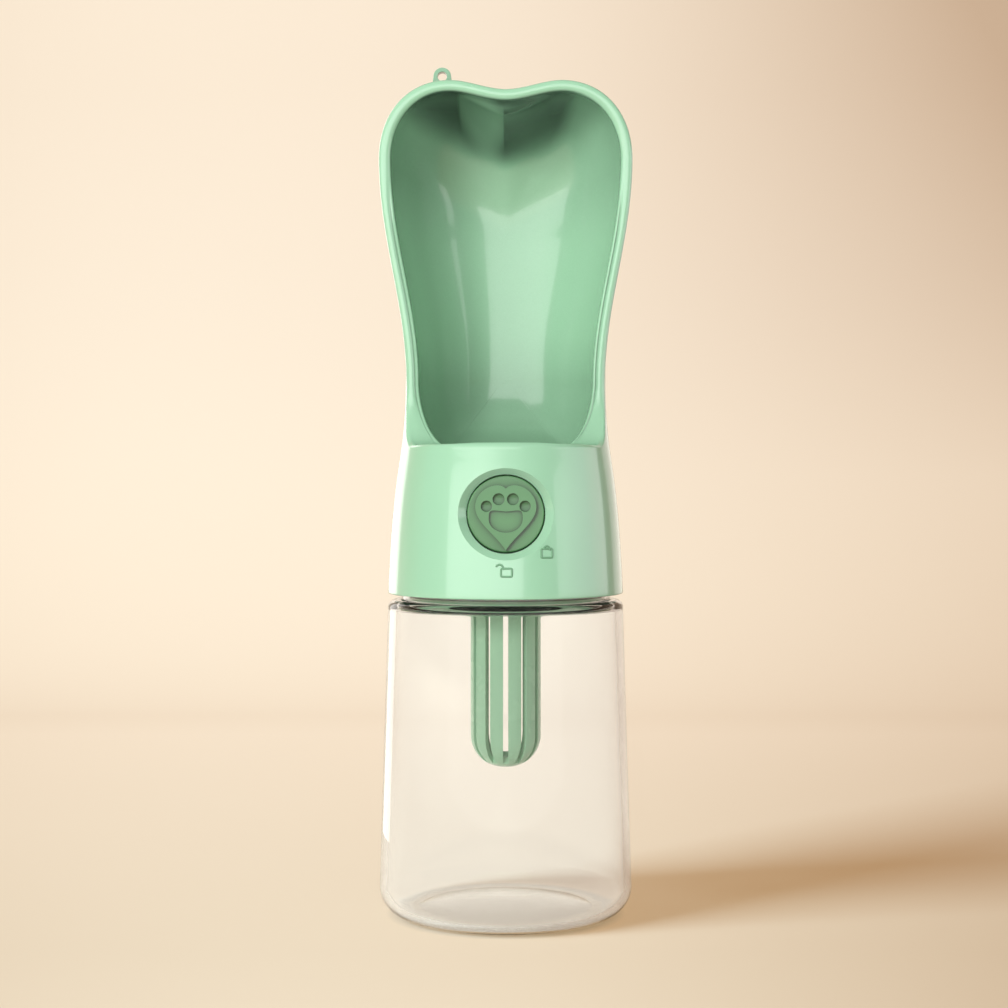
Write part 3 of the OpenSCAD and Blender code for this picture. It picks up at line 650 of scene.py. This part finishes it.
def away(k):
    p = rim_point(k, False)
    return Vector((p.x, 0, p.z - centre_z(k))).normalized()


def foot_angle(k):
    """Angle round the skirt at which the line that ends at rim point k starts."""
    turn = math.degrees(CORNER_A)
    if k <= LIP_N:
        return math.radians(-90 + k / LIP_N * turn)
    p = rim_point(CORNER_END, False)
    side = math.degrees(math.atan2(p.y, p.x))
    if k <= CORNER_END:
        a = mix(turn - 90, side, (k - LIP_N) / CORNER_N)
    elif k <= SIDE_END:
        a = mix(side, 30, ((k - CORNER_END) / SIDE_N) ** 1.3)
    else:
        a = mix(30, 90, (k - SIDE_END) / (LOBE_N + TOP_N))
    return math.radians(a)


def wall_point(a, z):
    r = head_r(z)
    return Vector((r * math.cos(a), r * math.sin(a), z))


def out_dir(k):
    """Direction in which the outer skin meets the rim."""
    a = foot_angle(k)
    up = (wall_point(a, LIP_Z + 1) - wall_point(a, LIP_Z)).normalized()
    level = (away(k) * 0.1 + Vector((0, -1, 0))).normalized()
    return mix(up, level, lean(k)).normalized()


def in_dir(k):
    """Direction in which the trough leaves the rim."""
    return mix(Vector((0, 1, 0)) - away(k) * 0.1, Vector((0, 0.3, -1)), low(k)).normalized()


def skin_point(k, s, edge):
    """Outer skin at s from 0, at the loft's foot, to 1, at the rim's edge."""
    z1 = min(WAIST_Z, mix(LOFT_Z, rim_point(k, False).z, 0.5))
    a = foot_angle(k)
    start = wall_point(a, z1)
    if s <= 0.3:
        return wall_point(a, mix(LOFT_Z, z1, s / 0.3))
    reach = (edge - start).length
    up = (wall_point(a, z1 + 0.01) - start).normalized() * reach * mix(0.33, 0.8, lean(k))
    out = out_dir(k) * reach * mix(0.33, 0.42, lean(k))
    return bezier(start, start + up, edge - out, edge, (s - 0.3) / 0.7)


def hollow_point(k, s):
    """The trough at s from 0, at the rim, to 1, at the middle of its back."""
    p = rim_point(k, True)
    power = 2 / mix(2.2, 3.4, low(k))
    across = math.cos(math.pi / 2 * s) ** power
    depth = math.sin(math.pi / 2 * s) ** power
    drop = BASIN * low(k) * smooth(min(1, depth * 5))
    q = Vector((p.x * across, mix(p.y, BACK_Y - HEAD_WALL, depth),
                mix(centre_z(k), p.z - drop, across)))
    # the fold that the notch between the lobes leaves in the roof of the trough
    roof = smooth(clamp((k - LOBE_END + 3) / 3)) * max(0, 1 - abs(q.x) / FOLD_W)
    q.z -= FOLD_H * roof * smooth(clamp(s / 0.08)) * (1 - smooth(clamp((s - 0.25) / 0.4)))
    return q


def rim_band(k):
    """The rim's cross-section: a soft crown, and along the lower sides a fine bead inside it."""
    outer, inner = rim_point(k, False), rim_point(k, True)
    along = rim_point(min(k + 0.05, RIM_N), False) - rim_point(max(k - 0.05, 0), False)
    if k < 0.05 or k > RIM_N - 0.05:
        along = Vector((1 if k < 1 else -1, 0, 0))
    f = (inner - outer).normalized()
    n = along.normalized().cross(f).normalized()
    w = (inner - outer).length
    crown = 0.6 * min(1.0, (RIM_W / w) ** 2)

    def at(part, up):
        return outer + f * part * w + n * up
    edge = [outer - out_dir(k) * 1.2, outer - out_dir(k) * 0.55]
    plain = [at(0.09, 0.12), at(0.27, crown * 0.85), at(0.5, crown), at(0.7, crown * 0.86),
             at(0.84, crown * 0.5), at(0.94, 0.05), inner + in_dir(k) * 0.25]
    beaded = [at(0.09, 0.1), at(0.28, crown * 0.85), at(0.48, crown),
              at(1 - 1.2 / w, crown * 0.45), at(1 - 0.85 / w, -0.06), at(1 - 0.45 / w, 0.2),
              at(1 - 0.05 / w, -0.02)]
    bead = smooth(clamp((k - LIP_N) / 3)) * (1 - smooth(clamp((k - CORNER_END - 6) / 3)))
    knots = edge + [mix(a, b, bead) for a, b in zip(plain, beaded)]
    return spline(knots + [inner + in_dir(k) * 0.5, inner + in_dir(k) * 1.0], 3)


def head_line(k):
    """All points from the skirt's bottom edge over the rim to the back of the trough."""
    skirt_n, skin_n, trough_n = 16, 34, 40
    a = foot_angle(k)
    foot = wall_point(a, SKIRT_Z)
    flat = Vector((math.cos(a), math.sin(a), 0))
    line = [foot - flat * 0.5, foot - flat * 0.15 + Vector((0, 0, 0.12)),
            foot + Vector((0, 0, 0.5))]
    line += [wall_point(a, mix(SKIRT_Z + 0.5, LOFT_Z, (i + 1) / skirt_n))
             for i in range(skirt_n)]
    band = rim_band(k)
    line += [skin_point(k, (i + 1) / (skin_n + 1), band[0]) for i in range(skin_n)]
    line += band
    line += [hollow_point(k, 0.03 + 0.95 * (i / (trough_n - 1)) ** 1.15)
             for i in range(trough_n)]
    return line


def head_loft():
    half = [head_line(i / FINE) for i in range(RIM_N * FINE + 1)]
    count = 2 * RIM_N * FINE
    lines = half + [[Vector((-p.x, p.y, p.z)) for p in half[count - i]]
                    for i in range(len(half), count)]
    rows = len(half[0])
    verts = [p for line in lines for p in line]
    faces = [(i * rows + j, i * rows + j + 1, ((i + 1) % count) * rows + j + 1,
              ((i + 1) % count) * rows + j) for i in range(count) for j in range(rows - 1)]
    faces.append([i * rows for i in range(count)])
    end = rows - 1
    for i in range(len(half) - 1):
        ring = without_repeats([i * rows + end, ((count - i) % count) * rows + end,
                                (count - i - 1) * rows + end, (i + 1) * rows + end])
        if len(ring) > 2:
            faces.append(ring)
    return new_object("head_moulding", verts, faces)


# The dish round the button and the well behind it, whose step holds the lock sleeve's collar
MOUTH_R, MOUTH_Y, DISH_X, DISH_Z = 11.27, 29.0, 13.66, 13.05
WELL_R, COLLAR_R, WELL_Y = 12.35, 13.15, -17.5
WELL_STEP, WELL_LIP, WELL_END = 3.5, 10.1, 12.5     # forward of WELL_Y
TUBE_R, TUBE_L = 14.35, 12.1
PASSAGE_R, PASSAGE_Y, PASSAGE_L = 4.15, -7, 6.8     # from the valve up into the trough
BEYOND = 60             # how far forward a cutter is clear of the wall


def build_dish():
    """Cutter for the dish: from the round mouth out to an oval in the wall."""
    count, verts = 160, [(0, 0, MOUTH_Y)]
    for i in range(count):
        a = 2 * math.pi * i / count
        x, z = math.cos(a), math.sin(a)
        reach = DISH_X * DISH_Z / math.hypot(DISH_Z * x, DISH_X * z)
        depth = math.sqrt(head_r(VALVE_Z + z * reach) ** 2 - (x * reach) ** 2)
        lip = max(MOUTH_Y + 0.1, depth - 1.5)
        ring = [(MOUTH_R - 0.3, MOUTH_Y), (MOUTH_R, MOUTH_Y), (MOUTH_R, lip - 0.06)]
        ring += [(mix(MOUTH_R + 0.12, reach, u), mix(lip + 0.04, depth + 0.01, u))
                 for u in (0, 0.25, 0.5, 0.75, 1.0)]
        ring += [(reach + 0.02, depth + 4)]
        verts += [(x * r, z * r, y) for r, y in ring]
    rows = (len(verts) - 1) // count
    verts.append((0, 0, BEYOND))
    faces = []
    for i in range(count):
        a, b = 1 + i * rows, 1 + (i + 1) % count * rows
        faces += [(a + j, a + j + 1, b + j + 1, b + j) for j in range(rows - 1)]
        faces += [(0, a, b), (len(verts) - 1, b + rows - 1, a + rows - 1)]
    return place(new_object("dish", verts, faces), to_front(0, VALVE_Z))


def build_head():
    head = head_loft()
    below, bore_r, bore_top, neck_r, neck_top, cavity_z = 90, 32.5, 105.5, 29.5, 108, 107.1
    heights = [mix(cavity_z + 0.1, FLOOR_Z, i / 12) for i in range(13)]
    cavity = [(0, cavity_z)] + [(head_r(z) - HEAD_WALL, z) for z in heights] + [(0, FLOOR_Z)]
    combine(head, revolve("cavity", cavity, 200), "DIFFERENCE")
    bore = [(0, below), (bore_r, below), (bore_r, bore_top), (neck_r, bore_top),
            (neck_r, neck_top), (0, neck_top)]
    combine(head, revolve("bore", bore, 200), "DIFFERENCE")
    tube = place(disc("tube", TUBE_R, 0, TUBE_L, 128), to_front(WELL_Y, VALVE_Z))
    combine(head, tube, "UNION")
    well = fillet([(0, WELL_END, 0), (MOUTH_R, WELL_END, 0), (MOUTH_R, WELL_LIP, 0.1),
                   (WELL_R, WELL_LIP, 0.1), (WELL_R, WELL_STEP, 0.15),
                   (COLLAR_R, WELL_STEP, 0.1), (COLLAR_R, -0.5, 0), (0, -0.5, 0)], 4)
    combine(head, place(revolve("well", pairs(well), 160), to_front(WELL_Y, VALVE_Z)),
            "DIFFERENCE")
    combine(head, build_dish(), "DIFFERENCE")
    passage = disc("hole", PASSAGE_R, 0, PASSAGE_L, 64)
    combine(head, place(passage, shift(0, PASSAGE_Y, FLOOR_Z - 1)), "DIFFERENCE")
    return head


EYELET_X, EYELET_Y, EYELET_Z = -19, 4.5, LOBE_Z + 3.6
EYELET_R, EYELET_BORE, EYELET_W = 2.65, 1.4, 3.0


def build_eyelet():
    """The tab with a round hole for a strap, behind the left top of the trough."""
    crown = arc((0, EYELET_Z, EYELET_R), 0, math.pi, 20)
    outline = [(3.85, LOBE_Z - 5)] + crown + [(-3.85, LOBE_Z - 5)]
    tab = place(prism("eyelet", outline, 0, EYELET_W), to_front(EYELET_Y, 0))
    hole = place(disc("eye_hole", EYELET_BORE, -1, 5, 48), to_front(EYELET_Y + 1, EYELET_Z))
    combine(tab, hole, "DIFFERENCE")
    soften(tab, 0.75, 4, 50)
    return place(tab, shift(EYELET_X, 0, 0))


head = build_head()
combine(head, build_eyelet(), "UNION")
finish_piece(head, "head", MINT, ["head_shell", "strap_loop"], 32)

# The bottle
FOOT_R, DOME_H, FLOOR_T = 26, 2.4, 2.2      # foot ring, height of the base's dome, its wall
NECK_R, NECK_BORE, NECK_TOP = 31.3, 29.6, 103.6


def tangent_angle(a, b):
    """Angle of the common tangent of two circles that lie one above the other."""
    return (math.atan2(b[1] - a[1], b[0] - a[0])
            - math.acos((a[2] - b[2]) / math.hypot(b[0] - a[0], b[1] - a[1])))


def build_bottle():
    low_c, high_c = (29.3, 8.5, 8.5), (32.8, 91.8, 2.4)
    in_low, in_high = (29.3, 8.5, 6.3), (31.8, 91.0, 1.0)
    lean_out, lean_in = tangent_angle(low_c, high_c), tangent_angle(in_low, in_high)
    dome_r = (FOOT_R ** 2 + DOME_H ** 2) / (2 * DOME_H)
    down, up = -math.pi / 2, math.pi / 2

    def dome(r, wall):
        return DOME_H - dome_r + math.sqrt((dome_r + wall) ** 2 - r * r)
    outline = [(r, dome(r, 0)) for r in (0, 6, 12, 18, 22)]
    outline += pairs(fillet([(22, dome(22, 0), 0), (FOOT_R, 0, 3.0), (29, 0, 0)], 6))[1:]
    outline += arc(low_c, down, lean_out, 20)
    outline += arc(high_c, lean_out, up, 12)
    neck = [(32.7, 94.2, 0), (NECK_R, 94.2, 0.5), (NECK_R, NECK_TOP, 0.4),
            (NECK_BORE, NECK_TOP, 0.4), (NECK_BORE, 92.0, 0.5), (31.7, 92.0, 0)]
    outline += pairs(fillet(neck, 5))[1:-1]
    outline += arc(in_high, up, lean_in, 8)
    outline += arc(in_low, lean_in, down, 18)
    outline += pairs(fillet([(29, FLOOR_T, 0), (FOOT_R + 0.2, FLOOR_T, 3.0),
                             (22, dome(22, FLOOR_T), 0)], 6))[1:]
    outline += [(r, dome(r, FLOOR_T)) for r in (18, 12, 6, 0)]
    return revolve("bottle_blown", outline, 240)


THREAD_TURNS, THREAD_Z, THREAD_LEAD, THREAD_START = 1.3, 97.0, 4.0, math.radians(200)
THREAD_SHAPE = [(-0.25, -1.0), (0.35, -0.75), (0.75, -0.35), (0.75, 0.35), (0.35, 0.75),
                (-0.25, 1.0)]               # (out, up) points of the ridge


def build_thread(per_turn=96):
    """A ridge wound round the neck as a right-hand thread, that runs out at its ends."""
    count = int(THREAD_TURNS * per_turn)
    rings = []
    for i in range(count + 1):
        a = THREAD_START + 2 * math.pi * i / per_turn
        ease = smooth(clamp(min(i, count - i) / 10))
        z = THREAD_Z + THREAD_LEAD * i / per_turn
        ring = []
        for out, up in THREAD_SHAPE:
            r = NECK_R + (out if out > 0 else out * mix(0.15, 1.0, ease))
            ring.append((r * math.cos(a), r * math.sin(a), z + up * mix(0.5, 1.0, ease)))
        rings.append(ring)
    return sweep("neck_thread", rings)


bottle = build_bottle()
combine(bottle, build_thread(), "UNION")
finish_piece(bottle, "bottle", CLEAR, ["bottle"], 40)

# The strainer: a slotted cage with a round foot and a top that flares out
PLUG_Z, CAGE_R, CAGE_WALL, CAGE_L, CAGE_ROUND = 92.8, 10.55, 1.6, 48.8, 9.6
CAGE_FLARE, CAGE_COLLAR, CAGE_SLOTS, SLOT_W = 4.2, 1.6, 12, 1.6
SLOT_Y = -6.2           # each slot starts this far from the axis


def build_cage():
    foot = PLUG_Z - CAGE_L
    inside = CAGE_R - CAGE_WALL
    round_z = foot + CAGE_ROUND
    outline = [(0, foot)] + arc((CAGE_R - CAGE_ROUND, round_z, CAGE_ROUND), -math.pi / 2, 0, 20)
    outline += [(CAGE_R, mix(round_z, PLUG_Z - CAGE_FLARE, i / 10)) for i in range(1, 10)]
    outline += arc((CAGE_R + CAGE_FLARE, PLUG_Z - CAGE_FLARE - 0.05, CAGE_FLARE), math.pi,
                   math.pi / 2, 10)
    outline += [(CAGE_R + CAGE_FLARE, PLUG_Z - 0.04), (CAGE_R, PLUG_Z - 0.05),
                (CAGE_R, PLUG_Z + CAGE_COLLAR), (inside, PLUG_Z + CAGE_COLLAR)]
    outline += [(inside, mix(PLUG_Z, round_z, i / 10)) for i in range(0, 10)]
    outline += arc((inside - 8.0, round_z, 8.0), 0, -math.pi / 2, 16)
    outline += [(0, foot + CAGE_WALL)]
    cage = revolve("strainer_moulding", outline, 192)
    half, tall = SLOT_W / 2, CAGE_L - 0.4
    slot = [(-half, -0.1), (half, -0.1), (half, tall), (-half, tall)]
    for i in range(CAGE_SLOTS):
        cutter = prism("slot", slot, 0, CAGE_R)
        turn = Matrix.Rotation(2 * math.pi * i / CAGE_SLOTS, 4, "Z")
        combine(cage, place(cutter, turn @ to_front(SLOT_Y, foot)), "DIFFERENCE")
    return soften(cage, 0.32, 3, 38)


strainer = build_cage()
finish_piece(strainer, "strainer", MINT_INSIDE, ["filter_cage"], 35)

# The button: a disc with a raised heart, into which a paw is sunk
BUTTON_Y, BUTTON_R, HEART_H, PAW_H = 29.3, 11.05, 1.3, 0.95
BUTTON_L, BUTTON_WALL, BUTTON_FLOOR, STEM_R, BOSS_R, BOSS_L = 6.8, 1.25, 2.0, 2.0, 3.5, 4.1


def half_outline(ends, reach, steps=24):
    """Closed outline, mirrored in X, from two curves: their ends and handles."""
    ends = [Vector(p) for p in ends]
    reach = [Vector(p) for p in reach]
    right = [bezier(ends[0], ends[0] + reach[0], ends[1] + reach[1], ends[1], i / steps)
             for i in range(steps)]
    right += [bezier(ends[1], ends[1] + reach[2], ends[2] + reach[3], ends[2], i / steps)
              for i in range(steps + 1)]
    return pairs(right) + [(-p.x, p.y) for p in right[-2:0:-1]]


HEART = half_outline([(0, 7.2), (8.7, 2.1), (0, -10.4)],
                     [(2.4, 2.6), (0, 4.8), (0, -4.6), (2.6, 4.4)])
PAD = half_outline([(0, 0.7), (4.85, -1.3), (0, -5.3)],
                   [(4.2, 0.4), (0, 2.9), (0, -2.4), (2.7, 0)])
TOES = [(5.5, 2.2, 1.6), (2.05, 4.2, 1.7), (-2.05, 4.2, 1.7), (-5.5, 2.2, 1.6)]


def build_button():
    cup_r = BUTTON_R - BUTTON_WALL
    profile = fillet([(0, 0, 0), (BUTTON_R, 0, 0.45), (BUTTON_R, -BUTTON_L, 0.2),
                      (cup_r, -BUTTON_L, 0.2), (cup_r, -BUTTON_FLOOR, 0.6),
                      (BOSS_R, -BUTTON_FLOOR, 0.3), (BOSS_R, -BOSS_L, 0.2),
                      (STEM_R, -BOSS_L, 0), (STEM_R, -1.2, 0), (0, -1.2, 0)], 5)
    button = revolve("button_moulding", pairs(profile), 160)
    for side in (-1, 1):
        near, far = side * (BUTTON_R - 3.2), side * (BUTTON_R + 3.2)
        slot = [(near, -1.1), (far, -1.1), (far, 1.1), (near, 1.1)]
        combine(button, prism("key_slot", slot, -9, -BUTTON_FLOOR), "DIFFERENCE")
    heart = prism("heart", HEART, -0.3, HEART_H)
    for x, y, r in TOES:
        toe = place(disc("toe", r, HEART_H - PAW_H, 2, 48), shift(x, y, 0))
        combine(heart, toe, "DIFFERENCE")
    combine(heart, prism("pad", PAD, HEART_H - PAW_H, 2), "DIFFERENCE")
    soften(heart, 0.16, 2, 50)
    combine(button, heart, "UNION")
    return place(button, to_front(-BUTTON_Y, VALVE_Z))


finish_piece(build_button(), "button", SAGE, ["button_cap"], 35)

# The lock sleeve
SLEEVE_R, SLEEVE_BORE, SLEEVE_FRONT, SLEEVE_REAR = 12.05, 11.35, -27.3, -19.0
SLEEVE_COLLAR, COLLAR_OUT, KEY_L, KEY_HALF = 1.7, 0.8, 4.0, 0.8


def build_sleeve():
    """The ring that turns with the button: it sits behind the mouth's lip and has two keys."""
    long = SLEEVE_REAR - SLEEVE_FRONT
    collar_r = SLEEVE_R + COLLAR_OUT
    wall = fillet([(SLEEVE_BORE, long, 0.15), (SLEEVE_R, long, 0.15),
                   (SLEEVE_R, SLEEVE_COLLAR, 0.1), (collar_r, SLEEVE_COLLAR, 0.15),
                   (collar_r, 0, 0.15), (SLEEVE_BORE, 0, 0.1)], 3, closed=True)
    sleeve = revolve("lock_sleeve_moulding", pairs(wall), 128)
    for side in (-1, 1):
        a, b = sorted((side * (SLEEVE_BORE - 0.8), side * (SLEEVE_BORE + 0.3)))
        key = [(a, -KEY_HALF), (b, -KEY_HALF), (b, KEY_HALF), (a, KEY_HALF)]
        combine(sleeve, prism("key", key, 0.1, KEY_L), "UNION")
    return place(sleeve, to_front(SLEEVE_REAR, VALVE_Z))


finish_piece(build_sleeve(), "lock", SAGE, ["lock_sleeve"], 35)

# The return spring, between the button's floor and the washer at the back of the well
SPRING_R, WIRE_R, CURLS, WASHER_T, SPRING_GAP = 5.6, 0.35, 5, 0.4, 0.05
SPRING_FRONT = BUTTON_FLOOR - BUTTON_Y + SPRING_GAP + WIRE_R
SPRING_REAR = WELL_Y - WASHER_T - SPRING_GAP - WIRE_R


def build_spring(per_turn=48, sides=12):
    rings = []
    for i in range(CURLS * per_turn + 1):
        turn = 2 * math.pi * i / per_turn
        y = mix(SPRING_FRONT, SPRING_REAR, i / (CURLS * per_turn))
        wire = arc((SPRING_R, y, WIRE_R), 0, 2 * math.pi, sides)[:-1]
        rings.append([(r * math.cos(turn), at_y, VALVE_Z + r * math.sin(turn))
                      for r, at_y in wire])
    return sweep("return_spring_wire", rings)


spring = finish_piece(build_spring(), "head", STEEL, ["return_spring"], 60)
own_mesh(spring)

# The padlock symbols, raised lines on the front wall
LINE_W, LOCK_ROUND = 0.3, 0.35


def raised_line(name, points, closed=False, sides=8):
    """A fine raised line that follows the round front wall, from (x, z) points."""
    def on_wall(x, z):
        return Vector((x, -math.sqrt(head_r(z) ** 2 - x * x), z))

    count = len(points)
    rings = []
    for i, (x, z) in enumerate(points):
        before = points[i - 1] if closed or i else points[0]
        after = points[(i + 1) % count] if closed or i < count - 1 else points[-1]
        along = Vector((after[0] - before[0], 0, after[1] - before[1])).normalized()
        out = (on_wall(x, z) * Vector((1, 1, 0))).normalized()
        side = along.cross(out).normalized()
        centre = on_wall(x, z) - out * 0.02
        turns = [2 * math.pi * j / sides for j in range(sides)]
        rings.append([centre + (side * math.cos(a) + out * math.sin(a)) * LINE_W
                      for a in turns])
    return sweep(name, rings, closed)


def lock_symbol(name, cx, cz, w, h, hook):
    body = fillet([(cx + side * w / 2, cz + end * h / 2, LOCK_ROUND)
                   for side, end in ((-1, -1), (1, -1), (1, 1), (-1, 1))], 4, True)
    box = raised_line(name + "_body", pairs(body), closed=True)
    loop = raised_line(name + "_hook", hook)
    for piece in (box, loop):
        finish_piece(piece, "head", SHADED_MINT_LINE, angle=60)


def hook(cx, base, r, end, legs=0.4):
    """A padlock's hook: half a round, or less where it is open, on two legs."""
    curve = arc((cx, base, r), 0, math.radians(end), end // 15)
    return [(curve[0][0], base - legs)] + curve + [(curve[-1][0], curve[-1][1] - legs * 0.2)]


lock_symbol("closed_lock", 11.6, 109.1, 3.1, 2.5, hook(11.6, 110.3, 0.8, 180))
lock_symbol("open_lock", 0.2, 103.7, 3.1, 2.3, hook(-1.8, 104.9, 1.05, 150))


# The lamps: the floor, the bottle and the pieces inside it have some of their own
def lit_group(name, objects, state="INCLUDE"):
    """Objects that a lamp lights alone, or with EXCLUDE leaves out."""
    group = bpy.data.collections.new(name)
    for obj in objects:
        group.objects.link(obj)
    for member in group.collection_objects:
        member.light_linking.link_state = state
    return group


OPAQUE = lit_group("object_only", [backdrop, bottle], "EXCLUDE")
FLOOR = lit_group("floor_only", [backdrop])
BOTTLE = lit_group("bottle_only", [bottle])
INSIDE = lit_group("inside_only", [strainer, frame["nodes"]["base_plug"]])
AIM_Z = 150


def panel(name, azimuth, distance, low_z, high_z, width, radiance, lights, glossy=True,
          diffuse=True):
    """Soft box whose radiance is given, at that azimuth from the front (negative is left)."""
    a = math.radians(azimuth)
    middle = Vector((distance * math.sin(a), -distance * math.cos(a), (low_z + high_z) / 2))
    data = bpy.data.lights.new(name, "AREA")
    data.shape = "RECTANGLE"
    data.size, data.size_y = width * MM, (high_z - low_z) * MM
    data.energy = radiance * math.pi * data.size * data.size_y
    obj = bpy.data.objects.new(name, data)
    obj.location = middle * MM
    obj.rotation_euler = (Vector((0, 0, AIM_Z)) - middle).to_track_quat("-Z", "Y").to_euler()
    obj.visible_camera = False
    obj.visible_transmission = False
    obj.visible_glossy = glossy
    obj.visible_diffuse = diffuse
    obj.light_linking.receiver_collection = lights
    scene.collection.objects.link(obj)


# name, azimuth, distance, lowest and highest z, width, radiance, what it lights
panel("front_left_panel", -21, 900, 30, 420, 1400, 2.55, OPAQUE)
panel("right_fill", 84, 1000, 30, 420, 1300, 1.9, OPAQUE)
panel("left_edge_strip", -146, 700, -40, 560, 420, 2.2, OPAQUE, diffuse=False)
panel("bottle_edge", -131, 157, 2, 240, 54, 1.5, BOTTLE, diffuse=False)
panel("bottle_front", 0, 260, 2, 330, 700, 0.5, BOTTLE, diffuse=False)
panel("inside", -52, 300, 2, 230, 300, 4.4, INSIDE, glossy=False)
panel("right_edge_strip", 146, 700, -40, 560, 420, 0.7, OPAQUE, diffuse=False)
panel("key", -28, 1500, 420, 950, 530, 22.0, OPAQUE, glossy=False)
panel("floor_key", -61, 1500, 600, 1130, 800, 46.0, FLOOR, glossy=False)

world = bpy.data.worlds.new("studio")
scene.world = world
world.use_nodes = True
sky = world.node_tree.nodes["Background"].inputs
sky["Color"].default_value = (1.0, 0.98, 0.95, 1)
sky["Strength"].default_value = 0.2
scene.view_settings.view_transform = "Standard"
